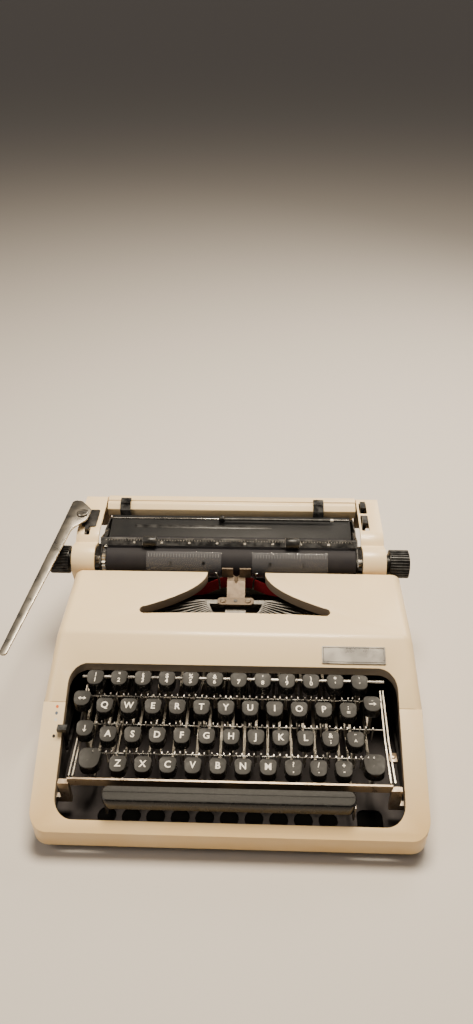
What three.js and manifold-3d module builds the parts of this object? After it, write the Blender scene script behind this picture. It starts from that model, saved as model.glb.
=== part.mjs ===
// Portable manual typewriter, in millimetres, +Z up, front towards -Y.
// Source frame: X from the middle of the body, Y from the front face, Z from the table.
import * as THREE from 'three';
import { mergeVertices } from 'three/addons/utils/BufferGeometryUtils.js';
import Module from 'manifold-3d';

const wasm = await Module();
wasm.setup();

// ---- driving dimensions ----
const gap = 0.3;                 // running clearance between neighbouring pieces
const wall = 2.5;                // casing wall
const bodyWidth = 298;           // lower casing, side to side
const bodyDepth = 297;           // lower casing, front to rear
const footHeight = 8;            // rubber feet under the casing
const frontHeight = 25;          // top edge of the front face above the table
const keyboardSlope = 0.538;     // rise of the keyboard plane for each mm back
const seamY = 84;                // where the lifting cover meets the lower casing
const creaseY = 134;             // where the sloping front turns into the flat top
const coverRearY = 211.5;        // rear edge of the cover, in front of the platen
const coverSkirtZ = 60;          // lower edge of the cover's sides
const coverFlare = 5;            // how far the cover's sides lean out to their lower edge
const openingWidth = 263;        // keyboard opening
const openingFrontY = 8;
const openingRearY = 111.5;
const openingRadius = 15;
const openingFlange = 6;         // turned-in edge round each opening
const throatHalf = 26;           // type opening where it meets the platen
const basketHalf = 76.5;         // middle of the round tips of the type opening
const basketFrontY = 157;
const keyPitch = 19;             // from key to key along a row, and from row to row
const rowRise = 10.4;            // from row to row upwards
const frontKeyY = 40;            // middle of the lowest letter row
const frontKeyTop = 54;          // top of the lowest letter row
const capWidth = 14.6;
const capDepth = 13.4;
const capHeight = 9;
const shiftCapWidth = 18;
const leverWidth = 2;
const leverHeight = 5;
const fulcrumY = 200;            // rods that the key levers turn on
const fulcrumZ = 27;             // lowest rod
const fulcrumPitch = 9;
const fulcrumRadius = 1.5;
const leverEndY = fulcrumY - 2.2;  // where a key lever meets its hub
const spaceBarWidth = 188;
const frameSpacing = 270;        // between the inner faces of the steel side frames
const frameThickness = 2;
const carriageOffset = -8;       // carriage as it stands, left of the middle
const platenRadius = 15;
const platenLength = 232;
const platenY = 231;
const platenZ = 93;
const capInner = 122;            // inner face of a carriage end cap from the carriage middle
const capThickness = 21;
const carriageTopZ = 114.5;      // rear edge of the carriage
const carriageRearY = 306;
const knobRadius = 13;
const knobLength = 18;
const spoolX = 102;
const spoolY = 152;
const spoolRadius = 21;
const leverLength = 166;         // carriage return lever
const returnPivotY = 264;

// ---- finishes ----
function finish(color, roughness, metalness) {
  return new THREE.MeshStandardMaterial({ color, roughness, metalness });
}
const cream = finish(0xeadcc0, 0.45, 0);
const blackPlastic = finish(0x17171a, 0.5, 0);
const greyCap = finish(0x55524f, 0.55, 0);
const steel = finish(0xb4b0a8, 0.35, 0.9);
const darkSteel = finish(0x3a3a3c, 0.5, 0.6);
const brassTan = finish(0x9c8563, 0.45, 0.7);
const rubber = finish(0x2a2a2c, 0.85, 0);
const paperGrey = finish(0x43444a, 0.6, 0.1);
const ribbonRed = finish(0xb01a26, 0.9, 0);
const clearPlate = finish(0x8d9298, 0.2, 0);

// ---- solids ----
const along = {
  x: new THREE.Matrix4().makeBasis(
    new THREE.Vector3(0, 1, 0), new THREE.Vector3(0, 0, 1), new THREE.Vector3(1, 0, 0)),
  y: new THREE.Matrix4().makeBasis(
    new THREE.Vector3(1, 0, 0), new THREE.Vector3(0, 0, 1), new THREE.Vector3(0, -1, 0)),
  z: new THREE.Matrix4(),
};

function toSolid(geometry) {
  const bare = geometry.clone();
  bare.deleteAttribute('normal');
  bare.deleteAttribute('uv');
  const merged = mergeVertices(bare, 1e-4);
  return new wasm.Manifold(new wasm.Mesh({
    numProp: 3,
    vertProperties: Float32Array.from(merged.attributes.position.array),
    triVerts: Uint32Array.from(merged.index.array),
  }));
}

function toGeometry(solid) {
  const mesh = solid.getMesh();
  const geometry = new THREE.BufferGeometry();
  geometry.setAttribute('position', new THREE.BufferAttribute(mesh.vertProperties, 3));
  geometry.setIndex(new THREE.BufferAttribute(mesh.triVerts, 1));
  geometry.computeVertexNormals();
  return geometry;
}

function join(...solids) {
  return solids.flat().reduce((sum, solid) => sum.add(solid));
}

function box(x0, x1, y0, y1, z0, z1) {
  const geometry = new THREE.BoxGeometry(x1 - x0, y1 - y0, z1 - z0);
  geometry.translate((x0 + x1) / 2, (y0 + y1) / 2, (z0 + z1) / 2);
  return toSolid(geometry);
}

// An outline given by corners [u, v, radius]; each radius becomes an arc.
function rounded(corners, steps = 3) {
  const points = [];
  corners.forEach(([u, v, radius], i) => {
    if (!radius) {
      points.push(new THREE.Vector2(u, v));
      return;
    }
    const before = corners[(i + corners.length - 1) % corners.length];
    const after = corners[(i + 1) % corners.length];
    const here = new THREE.Vector2(u, v);
    const toBefore = new THREE.Vector2(before[0] - u, before[1] - v).normalize();
    const toAfter = new THREE.Vector2(after[0] - u, after[1] - v).normalize();
    const half = Math.acos(THREE.MathUtils.clamp(toBefore.dot(toAfter), -1, 1)) / 2;
    const start = here.clone().addScaledVector(toBefore, radius / Math.tan(half));
    const end = here.clone().addScaledVector(toAfter, radius / Math.tan(half));
    const inward = toBefore.clone().add(toAfter).normalize();
    const middle = here.clone().addScaledVector(inward, radius / Math.sin(half));
    const from = start.clone().sub(middle).angle();
    let turn = end.clone().sub(middle).angle() - from;
    turn -= Math.round(turn / (2 * Math.PI)) * 2 * Math.PI;
    for (let k = 0; k <= steps; k += 1) {
      const angle = from + turn * k / steps;
      const step = new THREE.Vector2(Math.cos(angle), Math.sin(angle)).multiplyScalar(radius);
      points.push(middle.clone().add(step));
    }
  });
  return points;
}

// A prism of an outline: along x the outline is (y, z), along y it is (x, z), along z it is (x, y).
function prism(axis, points, from, to) {
  const outline = points[0].isVector2 ? points : points.map(([u, v]) => new THREE.Vector2(u, v));
  const settings = { depth: to - from, bevelEnabled: false };
  const geometry = new THREE.ExtrudeGeometry(new THREE.Shape(outline), settings);
  geometry.applyMatrix4(along[axis]);
  const shift = { x: [from, 0, 0], y: [0, to, 0], z: [0, 0, from] }[axis];
  geometry.translate(...shift);
  return toSolid(geometry);
}

function ringPoints(radius, u, v, sides = 16) {
  return Array.from({ length: sides }, (_, i) => [
    u + radius * Math.cos(2 * Math.PI * i / sides),
    v + radius * Math.sin(2 * Math.PI * i / sides),
  ]);
}

// A round bar along x, y or z; (u, v) is its middle in the plane across it.
function bar(axis, radius, from, to, u, v, sides = 16) {
  return prism(axis, ringPoints(radius, u, v, sides), from, to);
}

function tube(axis, outer, inner, from, to, u, v, sides = 12) {
  return bar(axis, outer, from, to, u, v, sides).subtract(bar(axis, inner, from - 1, to + 1, u, v, sides));
}

// A body through rings of points that run anticlockwise seen against the way the rings advance.
function loft(rings) {
  const count = rings[0].length;
  const position = rings.flat().flatMap((p) => [p.x, p.y, p.z]);
  const index = [];
  for (let r = 0; r + 1 < rings.length; r += 1) {
    for (let i = 0; i < count; i += 1) {
      const a = r * count + i;
      const b = r * count + (i + 1) % count;
      index.push(a, b, a + count, b, b + count, a + count);
    }
  }
  const last = (rings.length - 1) * count;
  for (let i = 1; i + 1 < count; i += 1) {
    index.push(0, i + 1, i, last, last + i, last + i + 1);
  }
  const geometry = new THREE.BufferGeometry();
  geometry.setAttribute('position', new THREE.Float32BufferAttribute(position, 3));
  geometry.setIndex(index);
  return toSolid(geometry);
}

function placed(solid, matrix) {
  const geometry = toGeometry(solid);
  geometry.applyMatrix4(matrix);
  return toSolid(geometry);
}

const machine = new THREE.Group();
function piece(name, solid, material, parent = machine) {
  const mesh = new THREE.Mesh(toGeometry(solid), material);
  mesh.name = name;
  parent.add(mesh);
  return mesh;
}

// ---- casing ----
const halfBody = bodyWidth / 2;
const halfOpening = openingWidth / 2;
const rearPanelHalf = 118;
const panelDrop = footHeight + 6;    // lower edge of the rear panel

function planeZ(y) {
  return frontHeight + keyboardSlope * y;
}
const coverTopZ = planeZ(creaseY);

function keyboardOutline(grow) {
  const half = halfOpening + grow;
  return rounded([
    [-half, openingFrontY - grow, openingRadius + grow],
    [half, openingFrontY - grow, openingRadius + grow],
    [half, openingRearY + grow, openingRadius + grow],
    [-half, openingRearY + grow, openingRadius + grow],
  ], 4);
}

// A slab that follows the keyboard plane, between two depths under it.
function planeSlab(y0, y1, shallow, deep) {
  const points = [
    [y0, planeZ(y0) - deep], [y1, planeZ(y1) - deep],
    [y1, planeZ(y1) - shallow], [y0, planeZ(y0) - shallow]];
  return prism('x', points, -halfBody - 10, halfBody + 10);
}

const flangeRing = prism('z', keyboardOutline(1.8), 0, 120)
  .subtract(prism('z', keyboardOutline(0), -1, 121))
  .intersect(planeSlab(openingFrontY - 5, openingRearY + 5, 1, openingFlange + wall));
const keyboardCut = prism('z', keyboardOutline(0), 0, 120);

function lowerFrame() {
  const seam = seamY - gap;
  const sideTop = coverSkirtZ - 0.5;
  const plan = (inset) => rounded([
    [-halfBody + inset, inset, 14 - inset], [halfBody - inset, inset, 14 - inset],
    [halfBody - inset, bodyDepth - inset, 14 - inset], [-halfBody + inset, bodyDepth - inset, 14 - inset],
  ], 4);
  const outer = prism('x', rounded([
    [0, footHeight, 5], [bodyDepth, footHeight, 5], [bodyDepth, sideTop, 3],
    [seam, sideTop], [seam, planeZ(seam)], [0, frontHeight, 4],
  ]), -halfBody, halfBody).intersect(prism('z', plan(0), 0, 120));
  const roof = (y) => planeZ(y) - wall / Math.cos(Math.atan(keyboardSlope));
  const inner = prism('x', [
    [0, -1], [bodyDepth, -1], [bodyDepth, roof(seam + 8)], [seam + 8, roof(seam + 8)], [0, roof(0)],
  ], -halfBody, halfBody).intersect(prism('z', plan(wall), -5, 120));
  const portHalf = rearPanelHalf + gap;
  const rearPort = box(-portHalf, portHalf, bodyDepth - wall - 1, bodyDepth + 1, panelDrop, 120);
  const frontFlange = flangeRing.intersect(box(-halfBody, halfBody, 0, seam, 0, 120));
  return outer.subtract(inner).add(frontFlange).subtract(keyboardCut).subtract(rearPort);
}

function rearPanel() {
  let panel = box(-rearPanelHalf, rearPanelHalf, bodyDepth - wall, bodyDepth, panelDrop + gap, 62);
  for (let i = -4; i <= 4; i += 1) {
    panel = panel.subtract(box(i * 16 - 5, i * 16 + 5, bodyDepth - wall - 1, bodyDepth + 1, 30, 33));
  }
  return panel;
}

// One cross-section of the cover: flared sides, round upper corners, level top.
function coverRing(y, topZ, baseZ, half, cornerRadius, inset) {
  const lean = (z) => half + coverFlare * (coverTopZ - z) / (coverTopZ - coverSkirtZ) - inset;
  const corners = [
    [-lean(baseZ), baseZ, 0], [-lean(topZ), topZ, cornerRadius],
    [lean(topZ), topZ, cornerRadius], [lean(baseZ), baseZ, 0]];
  return rounded(corners, 5).map((p) => new THREE.Vector3(p.x, y, p.y));
}

function coverBody(inset, baseZ, frontY, rearY) {
  const drop = inset / Math.cos(Math.atan(keyboardSlope));
  const stations = [frontY, creaseY - 8];
  for (let k = 0; k <= 5; k += 1) {
    stations.push(creaseY - 6 + k * 3);
  }
  stations.push(rearY);
  // the crease is a short parabola between the slope and the top
  const topAt = (y) => {
    const t = THREE.MathUtils.clamp((y - (creaseY - 8)) / 18, 0, 1);
    const slope = keyboardSlope * (1 - t / 2) * 18 * t;
    return y < creaseY - 8 ? planeZ(y) : planeZ(creaseY - 8) + slope;
  };
  const rings = stations.map((y) => {
    const topZ = topAt(y) - (y < creaseY ? drop : inset);
    return coverRing(y, topZ, baseZ, halfBody - 3, 9, inset);
  });
  return loft(rings);
}

function basketOutline(grow) {
  const shape = new THREE.Shape();
  const tip = 4.5 + grow;
  const frontEdge = basketFrontY - grow;
  const tipY = frontEdge + tip;
  shape.moveTo(throatHalf + grow, coverRearY + 5);
  shape.lineTo(throatHalf + grow, coverRearY - 4);
  shape.bezierCurveTo(throatHalf + 4 + grow, 190, 52, 177 + grow, basketHalf, tipY + tip);
  shape.absarc(basketHalf, tipY, tip, Math.PI / 2, -Math.PI / 2, true);
  shape.quadraticCurveTo(0, frontEdge + 4, -basketHalf, frontEdge);
  shape.absarc(-basketHalf, tipY, tip, -Math.PI / 2, -Math.PI * 1.5, true);
  shape.bezierCurveTo(-52, 177 + grow, -throatHalf - 4 - grow, 190, -throatHalf - grow, coverRearY - 4);
  shape.lineTo(-throatHalf - grow, coverRearY + 5);
  return shape.getPoints(7).reverse();
}

function distinct(points) {
  return points.filter((p, i) => p.distanceTo(points[(i + 1) % points.length]) > 0.01);
}

function topCover() {
  const outer = coverBody(0, coverSkirtZ, seamY, coverRearY);
  const inner = coverBody(wall, coverSkirtZ - 4, seamY - 6, coverRearY - wall);
  const windowHalf = halfBody - 10;
  const rearWindow = box(-windowHalf, windowHalf, coverRearY - 8, coverRearY + 2, coverSkirtZ - 5, 86);
  const typeCut = prism('z', distinct(basketOutline(0)), 60, 130);
  const flangeBase = coverTopZ - openingFlange - wall;
  const typeFlange = prism('z', distinct(basketOutline(1.8)), flangeBase, coverTopZ - 0.5)
    .subtract(typeCut)
    .intersect(box(-120, 120, 140, coverRearY, 0, 130));
  const rearFlange = flangeRing.intersect(box(-halfBody, halfBody, seamY, 140, 0, 120));
  const shell = outer.subtract(inner).subtract(rearWindow);
  return shell.add(typeFlange).subtract(typeCut).add(rearFlange).subtract(keyboardCut);
}

function basePan() {
  const half = halfBody - wall - 1;
  const edge = wall + gap;
  const panBase = footHeight + 0.2;
  let pan = box(-half, half, 8, bodyDepth - wall - 1, panBase, panBase + 1.5);
  pan = pan.intersect(prism('z', rounded([
    [-halfBody + edge, edge, 11], [halfBody - edge, edge, 11],
    [halfBody - edge, bodyDepth - edge, 11], [-halfBody + edge, bodyDepth - edge, 11],
  ]), 0, 20));
  for (let i = 0; i < 10; i += 1) {
    pan = pan.subtract(bar('z', 7.5, 0, 20, -95 + i * keyPitch, 24, 14));
  }
  pan = pan.subtract(prism('z', rounded([[98, 12, 5], [118, 12, 5], [118, 34, 5], [98, 34, 5]]), 0, 20));
  return pan.add(box(-7, 7, 9, 17, footHeight + 1, footHeight + 4));
}

piece('base_pan', basePan(), darkSteel);
piece('lower_frame', lowerFrame(), cream);
piece('rear_panel', rearPanel(), cream);
const footX = 125;
const feet = {
  front_left: [-footX, 22], front_right: [footX, 22], rear_left: [-footX, 276], rear_right: [footX, 276],
};
for (const [place, [x, y]] of Object.entries(feet)) {
  piece(`foot_${place}`, bar('z', 9, 0, footHeight - 0.1, x, y, 20), rubber);
}
const cover = new THREE.Group();
machine.add(cover);
piece('top_cover', topCover(), cream, cover);

// Name plate without a name, lying on the slope at the right.
const slopeAngle = Math.atan(keyboardSlope);
function badgePlate() {
  const corners = [[-25.5, -7, 0.8], [25.5, -7, 0.8], [25.5, 7, 0.8], [-25.5, 7, 0.8]];
  const plate = prism('z', rounded(corners), gap, gap + 1);
  const tilt = new THREE.Matrix4().makeRotationX(slopeAngle);
  return placed(plate, tilt.setPosition(97.5, 120.5, planeZ(120.5)));
}
piece('badge_plate', badgePlate(), steel, cover);

// ---- fixed works inside ----
const frameInner = frameSpacing / 2;
const railFrontY = 228;
const railRearY = 276;
const railTopZ = 66;
const frameTop = 57.5;
const frameSide = [[24, 11], [24, 24], [84, frameTop - 2], [90, frameTop], [290, frameTop], [290, 11]];
for (const [side, from] of Object.entries({ left: -frameInner - frameThickness, right: frameInner })) {
  const plate = prism('x', frameSide, from, from + frameThickness);
  const opening = rounded([[60, 18, 4], [180, 18, 4], [180, 30, 4], [80, 30, 4]]);
  const window = prism('x', opening, from - 1, from + 3);
  piece(`side_frame_${side}`, plate.subtract(window), darkSteel);
}
const rodEnd = frameInner - gap;
const fulcrumZs = [0, 1, 2, 3].map((deck) => fulcrumZ + deck * fulcrumPitch);
fulcrumZs.forEach((z, deck) => {
  piece(`fulcrum_rod_${4 - deck}`, bar('x', fulcrumRadius, -rodEnd, rodEnd, fulcrumY, z, 10), steel);
});
piece('key_comb', join(
  box(-122, 122, 29, 30.5, 41, 49), box(-129, -121, 27, 31, 22, 46), box(121, 129, 27, 31, 22, 46),
  box(-rodEnd, -128, 27, 31, 22, 28), box(128, rodEnd, 27, 31, 22, 28)), brassTan);
piece('key_stop_bar', bar('x', 1.4, -rodEnd + 13, rodEnd - 13, 107.5, 73.5, 8), steel);
piece('carriage_rail', join(
  box(-rodEnd, rodEnd, railFrontY - 3, railFrontY + 3, frameTop + gap, railTopZ),
  box(-rodEnd, rodEnd, railRearY - 3, railRearY + 3, frameTop + gap, railTopZ),
  box(-rodEnd, -rodEnd + 12, railFrontY, railRearY, frameTop + gap, 61),
  box(rodEnd - 12, rodEnd, railFrontY, railRearY, frameTop + gap, 61)), steel);

// Spools lie flat under the cover, each in its cup.
const cupFloor = 64;
for (const [side, sign] of Object.entries({ left: -1, right: 1 })) {
  const x = sign * spoolX;
  const wallX = sign * 133;
  const hollow = bar('z', spoolRadius + 1.5, cupFloor + 1.5, cupFloor + 20, x, spoolY, 24);
  const bracket = box(Math.min(x, wallX), Math.max(x, wallX), spoolY - 8, spoolY + 8, cupFloor, cupFloor + 1.5);
  const cup = bar('z', spoolRadius + 3, cupFloor, cupFloor + 11, x, spoolY, 24)
    .subtract(hollow)
    .add(bar('z', 2, cupFloor, cupFloor + 14, x, spoolY, 10))
    .add(bracket.subtract(hollow));
  piece(`spool_cup_${side}`, cup, darkSteel);
  const flange = (z) => bar('z', spoolRadius, z, z + 1, x, spoolY, 24);
  const woundRadius = side === 'left' ? 17 : 10;
  const wound = bar('z', woundRadius, cupFloor + 3, cupFloor + 17, x, spoolY, 20);
  const reel = join(flange(cupFloor + 2.5), wound, flange(cupFloor + 16.5));
  piece(`ribbon_spool_${side}`, reel.subtract(bar('z', 2.4, 0, 200, x, spoolY, 10)), blackPlastic);
}

// Clockwork of the carriage: spring drum, escapement wheel and margin bell, under the rails.
piece('mainspring_drum', join(
  bar('y', 21, 240, 254, -92, 34, 28), bar('y', 3, 236, 258, -92, 34, 10)), steel);
const teeth = Array.from({ length: 40 }, (_, i) => {
  const r = i % 2 ? 12.4 : 14.4;
  return [r * Math.cos(Math.PI * i / 20), 42 + r * Math.sin(Math.PI * i / 20)];
});
piece('escapement_wheel', join(prism('y', teeth, 246, 248), bar('y', 2.5, 238, 256, 0, 42, 10)), steel);
function bell() {
  const height = 17.4;
  const profile = [
    [0, 0], [3, 0], [15, 5], [18, 15], [19, 17],
    [17.6, height], [16.6, 15.4], [13.8, 6.4], [3, 1.6], [0, 1.6]];
  const turned = profile.map(([r, h]) => new THREE.Vector2(r, height - h)).reverse();
  const dome = new THREE.LatheGeometry(turned, 24);
  dome.applyMatrix4(new THREE.Matrix4().makeRotationX(Math.PI / 2));
  dome.translate(95, 252, 20);
  return toSolid(dome);
}
piece('bell', bell(), steel);
// ---- type basket ----
const segmentY = 192;
const segmentZ = 80;
const segmentTilt = THREE.MathUtils.degToRad(12);
const segmentOuter = 37;
const typebarCount = 44;
const basketGroup = new THREE.Group();
machine.add(basketGroup);

function tilted(solid) {
  return placed(solid, new THREE.Matrix4().makeRotationX(segmentTilt).setPosition(0, segmentY, segmentZ));
}

function segment() {
  const ring = bar('z', segmentOuter, -3, 3, 0, 0, 40).subtract(bar('z', 24, -4, 4, 0, 0, 32));
  const half = ring.intersect(box(-50, 50, -50, -2, -10, 10));
  return tilted(half.add(box(-9, 9, -27, -1, -3, 3)).add(box(-36.5, 36.5, -5, -1, -3, 3)));
}

function typebars() {
  const hub = bar('z', segmentOuter + 3, 3.4, 5, 0, 0, 40)
    .subtract(bar('z', segmentOuter - 4, 2, 6, 0, 0, 40))
    .intersect(box(-60, 60, -60, -4, -10, 10));
  const arms = Array.from({ length: typebarCount }, (_, i) => {
    const angle = THREE.MathUtils.degToRad(188 + i * 164 / (typebarCount - 1));
    const arm = new THREE.BoxGeometry(44, 1, 2.6);
    arm.translate(26 + 22, 0, 4.7);
    arm.applyMatrix4(new THREE.Matrix4().makeRotationZ(angle));
    return toSolid(arm);
  });
  return tilted(join(hub, arms));
}
piece('segment', segment(), steel, basketGroup);
piece('typebar_set', typebars(), steel, basketGroup);

// Forked guide that centres each type bar, screwed to the segment.
function typeGuide() {
  const foot = prism('z', rounded([[-16, 181, 4], [16, 181, 4], [16, 190, 3], [-16, 190, 3]]), 84.6, 86.2);
  const blade = prism('x', [
    [188, 85], [190, 84.6], [204, 92], [210.5, 92],
    [210.5, 103], [208.8, 103], [208.8, 94], [203.4, 94]], -8, 8);
  const fork = prism('y', [[-3, 110], [-3, 95], [0, 92.5], [3, 95], [3, 110]], 200, 220);
  const ears = box(-13, -7, 209, 210.5, 93, 103).add(box(7, 13, 209, 210.5, 93, 103));
  const post = box(-5, 5, 183, 188, 80, 85);
  return join(foot, blade, ears).subtract(fork).add(post);
}
piece('type_guide', typeGuide().subtract(tilted(box(-10, 10, -28, 0, -3.3, 3.3))), brassTan, basketGroup);

// Ribbon: out of one spool, up to the guide and back to the other.
const ribbonWidth = 12.5;
const ribbonZ = 67;
function ribbon() {
  const half = 0.25;
  const path = [[-spoolX + 20, spoolY + 14], [-74, 188], [-24, 207], [-12, 212.1 - 1.5]];
  const right = path.map(([x, y]) => [-x, y]).reverse();
  const centre = [...path, ...right];
  const edge = (offset) => centre.map(([x, y]) => [x, y + offset]);
  const outline = [...edge(-half), ...edge(half).reverse()];
  return prism('z', outline, ribbonZ, ribbonZ + ribbonWidth);
}
piece('ribbon', ribbon(), ribbonRed);

// Transparent card guide, curved round the platen and open in the middle for the type guide.
function cardGuide() {
  const inner = platenRadius + 2.6;
  const arc = (radius, from, to) => Array.from({ length: 9 }, (_, i) => {
    const angle = THREE.MathUtils.degToRad(from + (to - from) * i / 8);
    return [platenY + radius * Math.cos(angle), platenZ + radius * Math.sin(angle)];
  });
  const sheet = prism('x', [...arc(inner, 192, 112), ...arc(inner + 0.8, 112, 192)].reverse(), -82, 82);
  const notch = box(-14, 14, 205, 225, 91, 120);
  return sheet.subtract(notch);
}
piece('card_guide', cardGuide(), clearPlate);

// ---- keyboard ----
function keyCap(x, y, top, width = capWidth, depth = capDepth, height = capHeight) {
  const ring = (scale, z, tilt) => rounded([
    [-width / 2, -depth / 2, width * 0.42], [width / 2, -depth / 2, width * 0.42],
    [width / 2, depth / 2, width * 0.2], [-width / 2, depth / 2, width * 0.2],
  ], 2).map((p) => new THREE.Vector3(x + p.x * scale, y + p.y * scale, z + tilt * p.y));
  return loft([ring(1, top - height, 0), ring(0.92, top, 0.12)]);
}

// A flat lever from its rod to the key, bent up into the stem of the cap.
function keyLever(x, y, top, rodZ, width = leverWidth) {
  const low = rodZ - leverHeight / 2;
  const high = rodZ + leverHeight / 2;
  const stemTop = top - capHeight + 2;
  return prism('x', [
    [y - 1.5, low], [leverEndY, low], [leverEndY, high],
    [y + 1.5, high], [y + 1.5, stemTop], [y - 1.5, stemTop],
  ], x - width / 2, x + width / 2);
}

function hub(x0, x1, rodZ) {
  return tube('x', 3.3, fulcrumRadius + gap, x0, x1, fulcrumY, rodZ, 12);
}

// Rows from the front: number of keys and place of the first key.
const rows = [
  { name: 'key_row_4', count: 10, first: -84.75 },
  { name: 'key_row_3', count: 11, first: -94.25 },
  { name: 'key_row_2', count: 11, first: -99 },
  { name: 'key_row_1', count: 12, first: -108.5 },
];
rows.forEach(({ name, count, first }, deck) => {
  const y = frontKeyY + deck * keyPitch;
  const top = frontKeyTop + deck * rowRise;
  const rodZ = fulcrumZs[deck];
  const solids = [hub(first - 2, first + (count - 1) * keyPitch + 2, rodZ)];
  for (let i = 0; i < count; i += 1) {
    const x = first + i * keyPitch;
    solids.push(keyCap(x, y, top), keyLever(x, y, top, rodZ));
  }
  piece(name, join(solids), greyCap);
});

function singleKey(x, y, top, deck, width = capWidth, depth = capDepth) {
  const rodZ = fulcrumZs[deck];
  return join(keyCap(x, y, top, width, depth), keyLever(x, y, top, rodZ), hub(x - 2, x + 2, rodZ));
}
piece('margin_release_key', singleKey(-117, 82, 78, 2), greyCap);
piece('backspace_key', singleKey(109.4, 82, 78, 2), greyCap);
piece('shift_lock_key', singleKey(-112.5, 62, 67, 1), greyCap);
piece('shift_keys', join(
  keyCap(-106.7, 43, 56, shiftCapWidth, 17), keyLever(-106.7, 43, 56, fulcrumZs[0]),
  keyCap(109.3, 43, 56, shiftCapWidth, 17), keyLever(109.3, 43, 56, fulcrumZs[0]),
  tube('x', 3.3, fulcrumRadius + gap, -108.7, -96.5, fulcrumY, fulcrumZ, 12),
  tube('x', 3.3, fulcrumRadius + gap, 97.5, 111.3, fulcrumY, fulcrumZ, 12),
  bar('x', 2, -108, 110.5, 218, 22, 8),
  box(-107.7, -105.7, fulcrumY + 2, 219, 21, 29.5),
  box(108.3, 110.3, fulcrumY + 2, 219, 21, 29.5)), greyCap);

function spaceBar() {
  const half = spaceBarWidth / 2;
  const section = rounded([[11, 38, 2], [24, 38, 2], [24.5, 50, 3.5], [12.5, 48.5, 3.5]], 3);
  const solid = prism('x', section, -half, half)
    .intersect(prism('z', rounded([[-half, 10, 5], [half, 10, 5], [half, 26, 3], [-half, 26, 3]]), 30, 60));
  const arms = [-91.9, 93.4].map((x) => join(
    prism('x', [
      [16, 24.5], [leverEndY, 24.5], [leverEndY, 29.5], [19, 29.5], [19, 40], [16, 40]], x - 0.75, x + 0.75),
    hub(x - 0.75, x + 0.75, fulcrumZ)));
  return join(solid, arms);
}
piece('space_bar', spaceBar(), darkSteel);

// Ribbon colour lever, poking up inside the left edge of the keyboard opening.
const selectorZ = planeZ(66);
piece('ribbon_selector', join(
  bar('x', 4, -130.6, -127.6, 64, 42, 14),
  box(-130.4, -128, 62, 66, 42, selectorZ + 2),
  box(-134.5, -127, 61, 66, selectorZ + 1, selectorZ + 4.5)), blackPlastic);

// ---- carriage ----
const carriage = new THREE.Group();
carriage.position.x = carriageOffset;
machine.add(carriage);
const shaftRadius = 4;
const capFrontRadius = platenRadius + 2;
const capFrontTopZ = platenZ + capFrontRadius;
const frameCheek = capInner - 3;
const cheekThickness = 1.2;
const endCapBaseZ = 79;

// Outline of an end cap, pulled in all round by inset; its front follows the platen.
function endCapOutline(inset) {
  const radius = capFrontRadius - inset;
  const front = Array.from({ length: 7 }, (_, i) => {
    const angle = THREE.MathUtils.degToRad(90 + i * 100 / 6);
    return [platenY + radius * Math.cos(angle), platenZ + radius * Math.sin(angle)];
  });
  const rear = carriageRearY - inset;
  const top = carriageTopZ - inset;
  return [
    ...front, [platenY - 14 + inset, endCapBaseZ - inset * 3], [rear - 8, endCapBaseZ - inset * 3],
    [rear, 92], [rear, top - 2.5], [rear - 2.5, top], [platenY + 8, capFrontTopZ + 0.6 - inset],
  ];
}

// side is -1 on the left and 1 on the right; the cap is open below and towards the platen.
function endCap(side) {
  const across = (points, inner, outer) => prism('x', points, ...[side * inner, side * outer].sort((a, b) => a - b));
  const bore = across(ringPoints(shaftRadius + gap, platenY, platenZ), capInner - 1, capOuter + 1);
  return across(endCapOutline(0), capInner, capOuter)
    .subtract(across(endCapOutline(wall), capInner - 1, capOuter - wall))
    .subtract(bore);
}
const capOuter = capInner + capThickness;
const slotCut = box(-capOuter + 7, -capOuter + 12, 247, 265, 100, 120);
piece('end_cap_left', endCap(-1).subtract(slotCut), cream, carriage);
const leverSlots = box(capInner + 2, capInner + 9, 256, 278, 100, 120)
  .add(box(capInner + 2, capInner + 9, 281, 296, 100, 120));
piece('end_cap_right', endCap(1).subtract(leverSlots), cream, carriage);

function carriageFrame() {
  const base = box(-frameCheek, frameCheek, 224, 288, 70, 72.5);
  const runners = [railFrontY, railRearY].map((y) => (
    box(-frameCheek, frameCheek, y - 3, y + 3, railTopZ + gap, 70.5)));
  const rear = box(-frameCheek, frameCheek, 285.5, 288, 70, 100);
  const cheek = [[220, 70], [288, 70], [288, 100], [262, 105], [240, 102], [222, 96]];
  const cheekStarts = [-frameCheek, frameCheek - cheekThickness];
  const cheeks = cheekStarts.map((x) => prism('x', cheek, x, x + cheekThickness));
  const bores = cheekStarts.map((x) => bar('x', shaftRadius + gap, x - 1, x + 3, platenY, platenZ, 20));
  const tongues = box(-capOuter + 4, capOuter - 4, 244, 280, 70, 72.5);
  const rollerSlot = box(-frameCheek + 3, frameCheek - 3, platenY + 0.3, platenY + 9.7, 60, 80);
  return join(base, runners, rear, cheeks, tongues).subtract(join(bores)).subtract(rollerSlot);
}
piece('carriage_frame', carriageFrame(), darkSteel, carriage);

const railHalf = frameCheek + 2;
const railLipZ = carriageTopZ - 5;
piece('rear_rail', prism('x', [
  [288.5, 101.5], [303.5, 101.5], [303.5, 86], [carriageRearY, 86], [carriageRearY, carriageTopZ - 2.5],
  [carriageRearY - 2, carriageTopZ], [293, carriageTopZ - 1], [288.5, railLipZ],
], -railHalf, railHalf), cream, carriage);

piece('paper_table', prism('x', [
  [249.5, 96.2], [258, 98.9], [283.3, 103.6], [283.3, 86], [285, 86],
  [285, 104.9], [284, 105.2], [257.7, 100.3], [249.2, 97.6],
], -115, 115), paperGrey, carriage);

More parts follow.
